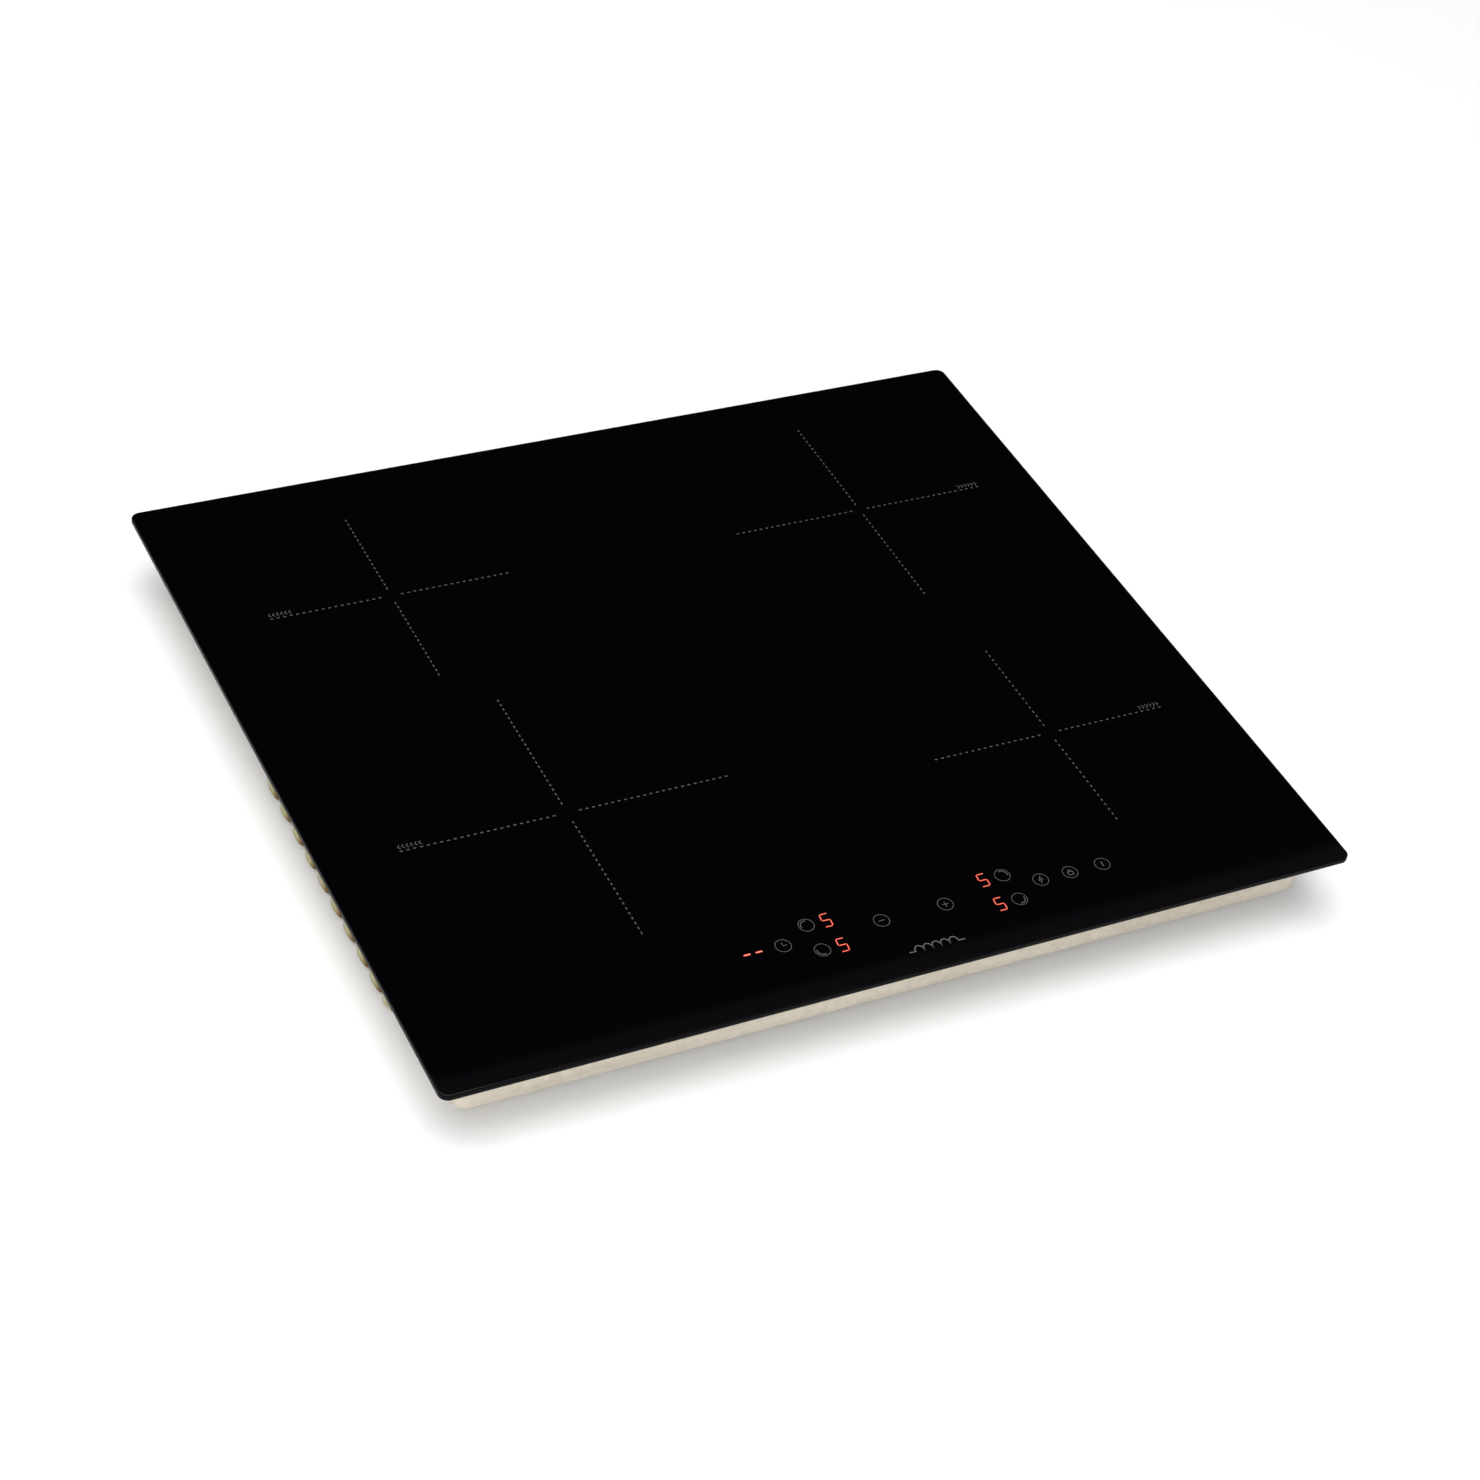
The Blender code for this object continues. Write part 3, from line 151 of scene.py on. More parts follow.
def make_room():
    world = bpy.data.worlds.new("studio")
    world.use_nodes = True
    nodes, links = world.node_tree.nodes, world.node_tree.links
    where = nodes.new("ShaderNodeTexCoord")
    split = nodes.new("ShaderNodeSeparateXYZ")
    ramp = nodes.new("ShaderNodeValToRGB")
    links.new(where.outputs["Generated"], split.inputs[0])
    links.new(split.outputs["Z"], ramp.inputs[0])
    stops = ramp.color_ramp.elements
    while len(stops) < len(ROOM):
        stops.new(0.5)
    for stop, (height, light) in zip(stops, ROOM):
        stop.position = height
        stop.color = (light, light, light, 1)
    links.new(ramp.outputs[0], nodes["Background"].inputs["Color"])
    towards = nodes.new("ShaderNodeVectorMath")
    towards.operation = "DOT_PRODUCT"
    towards.inputs[1].default_value = FLAG_TOWARDS
    links.new(where.outputs["Generated"], towards.inputs[0])
    flag = nodes.new("ShaderNodeMapRange")
    flag.interpolation_type = "SMOOTHSTEP"
    black, gone = [math.cos(math.radians(angle)) for angle in FLAG_EDGES]
    flag.inputs["From Min"].default_value = gone
    flag.inputs["From Max"].default_value = black
    flag.inputs["To Min"].default_value = 1.0
    flag.inputs["To Max"].default_value = 0.004
    links.new(towards.outputs["Value"], flag.inputs["Value"])
    links.new(flag.outputs["Result"], nodes["Background"].inputs["Strength"])
    scene.world = world


make_floor()
make_room()
print("room bright at", [height for height, light in ROOM if light > 0.5])

# %% [markdown]
# Two softboxes light the metal and the floor, and a weak strip draws the gleam. The front one
# stands low enough for the glass to mirror it from behind, so it is hidden from glossy rays, as a
# polarising filter would hide it.

# %% Hang the lamps


def hang_lamp(name, place, target, size, power, colour=(1, 1, 1), mirrored=True):
    lamp = bpy.data.lights.new(name, "AREA")
    lamp.shape = "RECTANGLE"
    lamp.size, lamp.size_y = size
    lamp.energy = power
    lamp.color = colour
    holder = bpy.data.objects.new(name, lamp)
    holder.location = place
    aim = Vector(target) - Vector(place)
    holder.rotation_euler = aim.to_track_quat("-Z", "Y").to_euler()
    holder.visible_glossy = mirrored
    scene.collection.objects.link(holder)


hang_lamp("overhead_softbox", (-0.9, -0.3, 2.8), (-0.9, -0.3, 0), (3.4, 4.2), 62)
hang_lamp("gleam_strip", (1.65, 1.54, 2.6), (1.65, 1.54, 0), (3.2, 0.6), 0.65, (0.95, 0.8, 1.0))
hang_lamp("front_softbox", (-1.7, -2.4, 1.35), (-0.1, -0.2, 0), (2.8, 1.3), 60, mirrored=False)

# %% [markdown]
# ## Building materials
#
# Every finish here is a Principled shader with a few texture nodes in front of it. The helpers
# below each add one thing that real surfaces have: patches of slightly different colour, patches
# that are duller, or a relief too fine to model. They all read Object coordinates, and because
# every piece of this model has its origin in the same place, a scale of 100 means a pattern of
# about a centimetre everywhere.

# %% Helpers for materials


def start_material(name, colour, roughness, metallic=0.0):
    material = bpy.data.materials.new(name)
    material.use_nodes = True
    shader = material.node_tree.nodes["Principled BSDF"]
    shader.inputs["Base Color"].default_value = (*colour, 1)
    shader.inputs["Roughness"].default_value = roughness
    shader.inputs["Metallic"].default_value = metallic
    return material


def pattern(material, scale, stretch=(1, 1, 1), kind="noise", detail=4.0):
    """A grey texture: noise, or a Voronoi pattern's cells. Stretch squeezes it along an axis."""
    nodes, links = material.node_tree.nodes, material.node_tree.links
    where = nodes.new("ShaderNodeTexCoord")
    mapping = nodes.new("ShaderNodeMapping")
    mapping.inputs["Scale"].default_value = stretch
    links.new(where.outputs["Object"], mapping.inputs["Vector"])
    if kind == "noise":
        texture = nodes.new("ShaderNodeTexNoise")
        texture.inputs["Detail"].default_value = detail
        output = texture.outputs["Fac"]
    else:
        texture = nodes.new("ShaderNodeTexVoronoi")
        output = texture.outputs["Color" if kind == "cells" else "Distance"]
    texture.inputs["Scale"].default_value = scale
    links.new(mapping.outputs[0], texture.inputs["Vector"])
    return output


def spread(material, source, low, high, start=0.3, end=0.7):
    """Maps a texture's middle range to a range of values."""
    ranger = material.node_tree.nodes.new("ShaderNodeMapRange")
    ranger.inputs["From Min"].default_value = start
    ranger.inputs["From Max"].default_value = end
    ranger.inputs["To Min"].default_value = low
    ranger.inputs["To Max"].default_value = high
    material.node_tree.links.new(source, ranger.inputs["Value"])
    return ranger.outputs["Result"]


def blotch(material, source, colours, start=0.3, end=0.7):
    """Drives the colour from one of two shades to the other."""
    ramp = material.node_tree.nodes.new("ShaderNodeValToRGB")
    for stop, place, colour in zip(ramp.color_ramp.elements, (start, end), colours):
        stop.position = place
        stop.color = (*colour, 1)
    shader = material.node_tree.nodes["Principled BSDF"]
    material.node_tree.links.new(source, ramp.inputs[0])
    material.node_tree.links.new(ramp.outputs[0], shader.inputs["Base Color"])


def dull(material, source, low, high):
    """Drives the roughness."""
    shader = material.node_tree.nodes["Principled BSDF"]
    material.node_tree.links.new(spread(material, source, low, high), shader.inputs["Roughness"])


def relief(material, source, height, strength=1.0):
    """Drives a bump of so many metres."""
    bump = material.node_tree.nodes.new("ShaderNodeBump")
    bump.inputs["Distance"].default_value = height
    bump.inputs["Strength"].default_value = strength
    shader = material.node_tree.nodes["Principled BSDF"]
    material.node_tree.links.new(source, bump.inputs["Height"])
    material.node_tree.links.new(bump.outputs[0], shader.inputs["Normal"])


# %% [markdown]
# ## Building shapes
#
# Sheet-metal pans, moulded boxes and the glass all share one form: a rounded rectangle whose
# edge is rounded too. `loft` stacks rounded rectangles on each other, each a little inset, so one
# helper makes all of them with real, light-catching edges. `ribbon` gives a line a width and a
# thickness, for printed marks, and `carve` cuts or joins shapes.

# %% Helpers for shapes


def show(name, bm, material, body="case", crease=30):
    """Makes a visible piece from a bmesh. Edges sharper than crease degrees stay crisp."""
    mesh = bpy.data.meshes.new(name)
    bmesh.ops.recalc_face_normals(bm, faces=bm.faces)
    bm.to_mesh(mesh)
    bm.free()
    piece = bpy.data.objects.new(name, mesh)
    scene.collection.objects.link(piece)
    mesh.materials.append(material)
    mesh.shade_smooth()
    mesh.set_sharp_from_angle(angle=math.radians(crease))
    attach(piece, body)
    return piece


def rounded_rectangle(x, y, corner, steps=8):
    """Points round a rectangle between two limits along x and two along y."""
    points = []
    turns = ((x[1] - corner, y[1] - corner), (x[0] + corner, y[1] - corner),
             (x[0] + corner, y[0] + corner), (x[1] - corner, y[0] + corner))
    for quarter, (middle_x, middle_y) in enumerate(turns):
        for i in range(steps + 1):
            angle = math.radians(90 * (quarter + i / steps))
            points.append((middle_x + corner * math.cos(angle),
                           middle_y + corner * math.sin(angle)))
    return points


def shrink(limits, amount):
    return (limits[0] + amount, limits[1] - amount)


def skin(bm, rings):
    """Joins rings of points, in their order, with faces, and closes the first and the last."""
    rows = [[bm.verts.new(point) for point in ring] for ring in rings]
    for low, high in zip(rows, rows[1:]):
        for i in range(len(low)):
            j = (i + 1) % len(low)
            bm.faces.new((low[i], low[j], high[j], high[i]))
    bm.faces.new(list(reversed(rows[0])))
    bm.faces.new(rows[-1])


def loft(bm, x, y, corner, profile, steps=8):
    """Stacks rounded rectangles. The profile gives the inset and height of each, upwards."""
    rings = []
    for inset, z in profile:
        outline = rounded_rectangle(shrink(x, inset), shrink(y, inset),
                                    max(corner - inset, corner * 0.1), steps)
        rings.append([(*point, z) for point in outline])
    skin(bm, rings)


def edges(low, high, bend_low, bend_high, steps=5):
    """The profile of a wall from low to high, with a rounded foot and a rounded top."""
    profile = []
    for i in range(steps + 1):
        angle = math.radians(90 * i / steps)
        profile.append((bend_low * (1 - math.sin(angle)), low + bend_low * (1 - math.cos(angle))))
    for i in range(steps + 1):
        angle = math.radians(90 * i / steps)
        profile.append((bend_high * (1 - math.cos(angle)),
                        high - bend_high * (1 - math.sin(angle))))
    return profile


def block(x, y, z, corner, bend_low, bend_high, steps=6):
    bm = bmesh.new()
    loft(bm, x, y, corner, edges(*z, bend_low, bend_high), steps)
    return bm


def carve(piece, bm, operation="DIFFERENCE"):
    """Cuts a shape out of a piece, or joins it to the piece, and keeps the result as its mesh."""
    mesh = bpy.data.meshes.new("tool")
    bmesh.ops.recalc_face_normals(bm, faces=bm.faces)
    bm.to_mesh(mesh)
    bm.free()
    tool = bpy.data.objects.new("tool", mesh)
    scene.collection.objects.link(tool)
    modifier = piece.modifiers.new("carve", "BOOLEAN")
    modifier.object = tool
    modifier.operation = operation
    graph = bpy.context.evaluated_depsgraph_get()
    carved = bpy.data.meshes.new_from_object(piece.evaluated_get(graph))
    piece.modifiers.clear()
    piece.data = carved
    bpy.data.objects.remove(tool)
    return piece


def crisp(piece, crease=30):
    """Smooth shading again after cuts."""
    piece.data.shade_smooth()
    piece.data.set_sharp_from_angle(angle=math.radians(crease))


# %% Helpers that reuse the working model's shapes


def dress(node, material):
    """Gives a piece of the working model a finished material."""
    for slot in frame["nodes"][node].material_slots:
        slot.material = material


def soften(node, width, material, steps=2):
    """Shows a copy of a working piece with its edges rounded, instead of the piece itself."""
    source = frame["nodes"][node]
    bm = bmesh.new()
    bm.from_mesh(source.data)
    bmesh.ops.remove_doubles(bm, verts=bm.verts, dist=1e-6)
    bmesh.ops.dissolve_limit(bm, angle_limit=math.radians(1), verts=bm.verts, edges=bm.edges)
    piece = show(node + "_finished", bm, material, source["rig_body"], 35)
    bevel = piece.modifiers.new("rounded_edges", "BEVEL")
    bevel.width = width
    bevel.segments = steps
    bevel.limit_method = "ANGLE"
    bevel.angle_limit = math.radians(35)
    bevel.use_clamp_overlap = True
    bevel.harden_normals = True
    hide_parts(node)
    return piece


# %% [markdown]
# ## The glass plate
#
# The plate is glass-ceramic, coloured black right through and polished. A flat slab with sharp
# edges would look like plastic, because nothing would catch the light. The real plate has a
# ground and polished rim, so the loft ends in a rounded edge. Two last rings, half a millimetre
# inside the rounding, keep the shading of the big flat face perfectly even.
#
# The plate's top is left a tenth of a millimetre low, which makes room for the print.

# %% Make the glass
glass_low, glass_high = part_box("glass_plate")
PRINT_ROOM = 0.00010
GLASS_CORNER = 0.006
GLASS_EDGE = 0.0007
top = glass_high.z - PRINT_ROOM


def black_glass():
    glass = start_material("black_glass_ceramic", (0.0010, 0.0007, 0.0012), 0.035)
    shader = glass.node_tree.nodes["Principled BSDF"]
    shader.inputs["IOR"].default_value = 1.53
    shader.inputs["Specular IOR Level"].default_value = 0.25
    dull(glass, pattern(glass, 9, detail=3), 0.025, 0.045)
    return glass


def ground_edge():
    """The rim is ground before it is polished, so it is duller than the faces."""
    edge = start_material("ground_glass_edge", (0.0012, 0.0009, 0.0014), 0.35)
    edge.node_tree.nodes["Principled BSDF"].inputs["Specular IOR Level"].default_value = 0.04
    dull(edge, pattern(edge, 700), 0.28, 0.42)
    return edge


def make_glass():
    profile = edges(glass_low.z, top, GLASS_EDGE, GLASS_EDGE, 6)
    flat = GLASS_EDGE + 0.5 * MILLIMETRE
    profile = [(flat, glass_low.z), *profile, (flat, top)]
    bm = bmesh.new()
    loft(bm, (glass_low.x, glass_high.x), (glass_low.y, glass_high.y), GLASS_CORNER, profile, 12)
    plate = show("glass_plate_polished", bm, black_glass(), crease=40)
    plate.data.materials.append(ground_edge())
    for face in plate.data.polygons:
        face.material_index = 0 if abs(face.normal.z) > 0.99 else 1
    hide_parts("glass_plate")


make_glass()
print("glass is", round((glass_high.z - glass_low.z) / MILLIMETRE, 2), "mm thick")

# %% [markdown]
# ## The print on the glass
#
# Screen print is a thin layer of ceramic ink. It could be a texture, but thin solids stay sharp
# however near you come. A cooking zone is marked by a dotted cross: short dashes along four arms,
# with an open middle. The arms are a little longer than the coil under them, whose middle the
# working model knows.

# %% Helpers for the print
INK_TOP = glass_high.z - 0.00004
LINE = 0.40 * MILLIMETRE


def ink(name, thin, thick):
    """Grey ink, a little paler where the screen left more of it."""
    material = start_material(name, thick, 0.55)
    blotch(material, pattern(material, 2500), (thin, thick))
    return material


def prism(bm, outline, low=top, high=INK_TOP):
    """A flat solid with the given outline."""
    skin(bm, [[(*point, z) for point in outline] for z in (low, high)])


def sideways(before, here, after, half):
    """Where a line's edge runs at one of its points: half a width off, mitred at a bend."""
    first = (here - before).normalized() if here != before else (after - here).normalized()
    second = (after - here).normalized() if after != here else first
    middle = (first + second).normalized()
    across = Vector((-middle.y, middle.x))
    return across * half / max(middle.dot(first), 0.3)


def ribbon(bm, points, width=LINE, closed=False, low=top, high=INK_TOP):
    """A line with a width and a thickness along points, open or closed."""
    points = [Vector(point) for point in points]
    count = len(points)
    rows = []
    for i, here in enumerate(points):
        before = points[i - 1] if closed or i else here
        after = points[(i + 1) % count] if closed or i < count - 1 else here
        off = sideways(before, here, after, width / 2)
        left, right = here + off, here - off
        rows.append([bm.verts.new((p.x, p.y, z)) for p, z in
                     ((right, low), (left, low), (left, high), (right, high))])
    for a, b in zip(rows, rows[1:] + rows[:1] if closed else rows[1:]):
        for i in range(4):
            j = (i + 1) % 4
            bm.faces.new((a[i], a[j], b[j], b[i]))
    if not closed:
        bm.faces.new(list(reversed(rows[0])))
        bm.faces.new(rows[-1])


def arc(middle, radius, start, end, steps=None):
    """Points along an arc, its ends given in degrees anticlockwise from +X."""
    steps = steps or max(4, round(abs(end - start) / 8))
    angles = [math.radians(start + (end - start) * i / steps) for i in range(steps + 1)]
    return [(middle[0] + radius * math.cos(a), middle[1] + radius * math.sin(a)) for a in angles]


def circle(bm, middle, radius, width=LINE):
    ribbon(bm, arc(middle, radius, 0, 360, 48)[:-1], width, closed=True)


# %% Mark the cooking zones
DASH_PITCH = 4.12 * MILLIMETRE
DASH_LENGTH = 1.75 * MILLIMETRE
DASH_WIDTH = 0.8 * MILLIMETRE
# zone: (arm length from the middle, open middle, side on which the power mark stands)
CROSSES = {"left_rear": (0.079, 0.0065, -1), "left_front": (0.1045, 0.0076, -1),
           "right_rear": (0.091, 0.0055, 1), "right_front": (0.0815, 0.0068, 1)}
CHEVRONS = 6
CHEVRON_HEIGHT = 3.0 * MILLIMETRE
CHEVRON_DEPTH = 1.26 * MILLIMETRE
CHEVRON_PITCH = 2.6 * MILLIMETRE


def middle_of(node):
    low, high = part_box(node)
    return (low + high) / 2


def dotted_arm(bm, middle, direction, start, end):
    dashes = round((end - start) / DASH_PITCH)
    pitch = (end - start - DASH_LENGTH) / (dashes - 1)
    for i in range(dashes):
        begin = start + i * pitch
        ribbon(bm, [middle + direction * begin, middle + direction * (begin + DASH_LENGTH)],
               DASH_WIDTH)


def power_mark(bm, corner, way):
    """A row of chevrons above the arm's outer end, in place of a word for full power."""
    depth = way * CHEVRON_DEPTH
    for i in range(CHEVRONS):
        tip = corner[0] - way * i * CHEVRON_PITCH
        y = corner[1]
        ribbon(bm, [(tip - depth, y), (tip, y + CHEVRON_HEIGHT / 2),
                    (tip - depth, y + CHEVRON_HEIGHT)], 0.5 * MILLIMETRE)


def mark_zone(zone, material):
    reach, open_middle, side = CROSSES[zone]
    place = middle_of("coil_winding_" + zone)
    middle = Vector((place.x, place.y))
    bm = bmesh.new()
    for direction in ((1, 0), (0, 1), (-1, 0), (0, -1)):
        dotted_arm(bm, middle, Vector(direction), open_middle, reach)
    power_mark(bm, (middle.x + side * reach, middle.y + 1.9 * MILLIMETRE), side)
    show("zone_mark_" + zone, bm, material)
    return middle


grey_ink = ink("grey_screen_print", (0.048, 0.048, 0.051), (0.082, 0.082, 0.086))
for zone in CROSSES:
    print(zone, "marked round", [round(c, 4) for c in mark_zone(zone, grey_ink)])

# %% [markdown]
# ## The touch keys
#
# The keys are only print: a ring with a sign in it, over a sensor that feels the finger through
# the glass. Each sign is a few ribbons. Four keys choose a zone, and the short arc inside their
# ring shows which corner that zone lies in. The long sign below the row is the symbol for a coil,
# five humps on a line, where such cooktops carry a word.

# %% Print the keys
KEY_RADIUS = 4.75 * MILLIMETRE
ROW_Y = -0.2165
REAR_Y = ROW_Y + 0.0105
FRONT_Y = ROW_Y - 0.0102


def bar(bm, middle, length, direction=(1, 0), width=LINE):
    half = Vector(direction) * length / 2
    ribbon(bm, [Vector(middle) - half, Vector(middle) + half], width)


def clock_sign(bm, at):
    x, y = at
    ribbon(bm, [(x, y + 2.7 * MILLIMETRE), (x, y), (x + 2.3 * MILLIMETRE, y)])


def minus_sign(bm, at):
    bar(bm, at, 3.8 * MILLIMETRE, width=0.5 * MILLIMETRE)


def cross_outline(at, arm, half):
    """The twelve corners of a cross."""
    quarter = [(half, half), (half, arm), (-half, arm)]
    corners = []
    for _ in range(4):
        corners += quarter
        quarter = [(-y, x) for x, y in quarter]
    return [(at[0] + x, at[1] + y) for x, y in corners]


def plus_sign(bm, at):
    prism(bm, cross_outline(at, 1.95 * MILLIMETRE, 0.26 * MILLIMETRE))


def bolt_sign(bm, at):
    x, y = at
    zigzag = [(0.7, 2.7), (-1.4, -0.35), (-0.15, -0.35), (-0.7, -2.7), (1.4, 0.45), (0.15, 0.45)]
    points = [(x + px * MILLIMETRE, y + py * MILLIMETRE) for px, py in zigzag]
    ribbon(bm, points, 0.45 * MILLIMETRE, closed=True)


def lock_sign(bm, at):
    x, y = at
    wide, tall = 1.65 * MILLIMETRE, 2.5 * MILLIMETRE
    foot = y - 2.1 * MILLIMETRE
    body = [(x - wide, foot), (x + wide, foot), (x + wide, foot + tall), (x - wide, foot + tall)]
    ribbon(bm, body, 0.5 * MILLIMETRE, closed=True)
    ribbon(bm, arc((x, foot + tall + 0.3 * MILLIMETRE), 1.05 * MILLIMETRE, -5, 185),
           0.5 * MILLIMETRE)


def power_sign(bm, at):
    bar(bm, at, 4.0 * MILLIMETRE, (0, 1), 0.65 * MILLIMETRE)


def corner_sign(towards):
    """An arc inside the ring, with its middle towards a zone, in degrees."""
    def draw(bm, at):
        ribbon(bm, arc(at, 3.35 * MILLIMETRE, towards - 62, towards + 62), 0.6 * MILLIMETRE)
    return draw


KEYS = {
    "timer_key": (-0.0696, ROW_Y, clock_sign),
    "left_rear_key": (-0.0496, REAR_Y, corner_sign(135)),
    "left_front_key": (-0.0496, FRONT_Y, corner_sign(225)),
    "minus_key": (-0.0060, ROW_Y, minus_sign),
    "plus_key": (0.0362, ROW_Y, plus_sign),
    "right_rear_key": (0.0805, REAR_Y, corner_sign(45)),
    "right_front_key": (0.0805, FRONT_Y, corner_sign(-45)),
    "full_power_key": (0.1008, ROW_Y, bolt_sign),
    "lock_key": (0.1210, ROW_Y, lock_sign),
    "on_off_key": (0.1434, ROW_Y, power_sign),
}


def print_keys(material):
    for name, (x, y, sign) in KEYS.items():
        bm = bmesh.new()
        circle(bm, (x, y), KEY_RADIUS)
        sign(bm, (x, y))
        show(name, bm, material)


print_keys(grey_ink)
print(len(KEYS), "keys,", round(2 * KEY_RADIUS / MILLIMETRE, 1), "mm across")

# %% Print the coil symbol
COIL_SIGN = (-0.0030, 0.0336)  # its ends along X
COIL_SIGN_Y = -0.2450
HUMPS = 5
HUMP_STRETCH = 1.35  # taller than a half circle


def print_coil_symbol(material):
    start, end = COIL_SIGN
    lead = 4.2 * MILLIMETRE
    radius = (end - start - 2 * lead) / (2 * HUMPS)
    points = [(start, COIL_SIGN_Y)]
    for i in range(HUMPS):
        middle = (start + lead + radius * (2 * i + 1), COIL_SIGN_Y)
        hump = arc(middle, radius, 180, 0, 14)[0 if i == 0 else 1:]
        points += [(x, COIL_SIGN_Y + (y - COIL_SIGN_Y) * HUMP_STRETCH) for x, y in hump]
    points.append((end, COIL_SIGN_Y))
    bm = bmesh.new()
    ribbon(bm, points, 0.72 * MILLIMETRE)
    show("coil_symbol", bm, material)


print_coil_symbol(ink("pale_screen_print", (0.072, 0.072, 0.076), (0.108, 0.108, 0.112)))
print("coil symbol", round((COIL_SIGN[1] - COIL_SIGN[0]) / MILLIMETRE, 1), "mm long")

# %% [markdown]
# ## The red figures
#
# Behind the glass shine seven-segment figures. Each figure is seven bars with pointed ends, and
# a five lights five of them. A lamp seen through black glass is not one flat red: the middle of a
# bar is so bright that it turns pink, and its rim is deep red. Two layers make that, a wide red
# bar and a narrow pink core a hundredth of a millimetre above it.

# %% Light the figures
FIGURE_WIDTH = 5.1 * MILLIMETRE
FIGURE_HEIGHT = 9.9 * MILLIMETRE
BAR_WIDTH = 0.80 * MILLIMETRE
LEAN = math.tan(math.radians(5))
# bar: (start, end) in half widths and half heights from the figure's middle
BARS = {"top": ((-1, 1), (1, 1)), "middle": ((-1, 0), (1, 0)), "bottom": ((-1, -1), (1, -1)),
        "upper_left": ((-1, 1), (-1, 0)), "upper_right": ((1, 1), (1, 0)),
        "lower_left": ((-1, 0), (-1, -1)), "lower_right": ((1, 0), (1, -1))}
FIVE = ("top", "upper_left", "middle", "lower_right", "bottom")


def glow(name, colour, strength):
    material = start_material(name, (0.02, 0.0, 0.0), 0.3)
    shader = material.node_tree.nodes["Principled BSDF"]
    shader.inputs["Emission Color"].default_value = (*colour, 1)
    shader.inputs["Emission Strength"].default_value = strength
    dull(material, pattern(material, 900), 0.25, 0.4)
    return material


def pointed_bar(bm, start, end, width, low, high):
    """A bar with pointed ends, a little short of both ends so that neighbours don't touch."""
    start, end = Vector(start), Vector(end)
    along = (end - start).normalized()
    across = Vector((-along.y, along.x)) * width / 2
    gap = along * 0.22 * MILLIMETRE
    tip = along * width / 2
    start, end = start + gap, end - gap
    prism(bm, [start, start + tip - across, end - tip - across, end,
               end - tip + across, start + tip + across], low, high)


def figure(bm, middle, bars, width, low, high):
    for name in bars:
        ends = []
        for px, py in BARS[name]:
            y = py * FIGURE_HEIGHT / 2
            ends.append((middle[0] + px * FIGURE_WIDTH / 2 + y * LEAN, middle[1] + y))
        pointed_bar(bm, *ends, width, low, high)


def light_figures(name, figures, width=BAR_WIDTH, core=0.45):
    """Both layers of a display: figures is a list of (middle, bars)."""
    layers = (("rim", red_rim, width, top, INK_TOP),
              ("core", pink_core, width * core, INK_TOP, INK_TOP + 0.00002))
    for layer, material, width, low, high in layers:
        bm = bmesh.new()
        for middle, bars in figures:
            figure(bm, middle, bars, width, low, high)
        show(f"{name}_{layer}", bm, material)


red_rim = glow("red_light_rim", (1.0, 0.035, 0.015), 0.8)
pink_core = glow("red_light_core", (1.0, 0.27, 0.18), 1.3)
light_figures("left_figures", [((-0.0367, REAR_Y), FIVE), ((-0.0367, FRONT_Y), FIVE)])
light_figures("right_figures", [((0.0674, REAR_Y), FIVE), ((0.0674, FRONT_Y), FIVE)])
light_figures("timer_figures", [((-0.0925, ROW_Y), ("middle",)), ((-0.0849, ROW_Y), ("middle",))],
              1.3 * MILLIMETRE, 0.65)
print("a figure is", round(FIGURE_HEIGHT / MILLIMETRE, 1), "mm high")

# %% [markdown]
# ## The steel case
#
# The case is a pan pressed from galvanised steel, which looks warm and pale next to the black
# glass. A pressed pan has no sharp edge anywhere: every fold has a bend radius. The working case
# is plain, so this one is built again at the same size from rounded blocks. The shallow pan, the
# deeper middle and the bays for the air outlets are joined into one solid, and the same blocks, a
# sheet thickness smaller, hollow it out.

# %% Measure the case
tray_low, tray_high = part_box("base_tray")
SHEET = 1.0 * MILLIMETRE
BEND = 2.2 * MILLIMETRE  # outside radius of a fold
RIM_HEIGHT = 0.0375  # from the glass top to the shallow pan's underside
ledge = glass_high.z - RIM_HEIGHT
RIM_CORNER = 9.5 * MILLIMETRE
SUMP_X = (-0.250, 0.250)
SUMP_Y = (-0.164, 0.205)
SUMP_CORNER = 8 * MILLIMETRE
BAY_X = (-0.2769, 0.2769)
BAY_Y = (-0.154, 0.0523)
BAY_CORNER = 4 * MILLIMETRE
FLANGE = 5.5 * MILLIMETRE  # width of the fold round the case's mouth
MOUTH_CORNER = 4 * MILLIMETRE
NO_BEND = 0.00001  # too small to see

print("shallow pan's underside at", round(ledge / MILLIMETRE, 1), "mm")

# %% Mix the galvanised finish


def galvanised():
    """Zinc grows in flat crystals, each a slightly different grey, under a thin warm film."""
    steel = start_material("galvanised_steel_warm", (0.58, 0.53, 0.45), 0.40, 0.5)
    crystals = pattern(steel, 260, kind="cells")
    streaks = pattern(steel, 40, stretch=(0.25, 1, 2.5), detail=6)
    nodes, links = steel.node_tree.nodes, steel.node_tree.links
    join = nodes.new("ShaderNodeMix")
    join.data_type = "FLOAT"
    join.inputs["Factor"].default_value = 0.72
    links.new(crystals, join.inputs["A"])
    links.new(streaks, join.inputs["B"])
    blotch(steel, join.outputs["Result"], ((0.52, 0.47, 0.385), (0.64, 0.59, 0.495)))
    dull(steel, join.outputs["Result"], 0.30, 0.44)
    relief(steel, streaks, 0.00006, 0.5)
    return steel


warm_zinc = galvanised()

# %% Press the case


def pan(x, y, z, corner, bend, inset=0.0, steps=8):
    """A block with rounded upright corners and a rounded foot, shrunk by inset."""
    bend = max(bend - inset, 0.4 * MILLIMETRE)
    return block(shrink(x, inset), shrink(y, inset), z, corner - inset, bend, NO_BEND, steps)


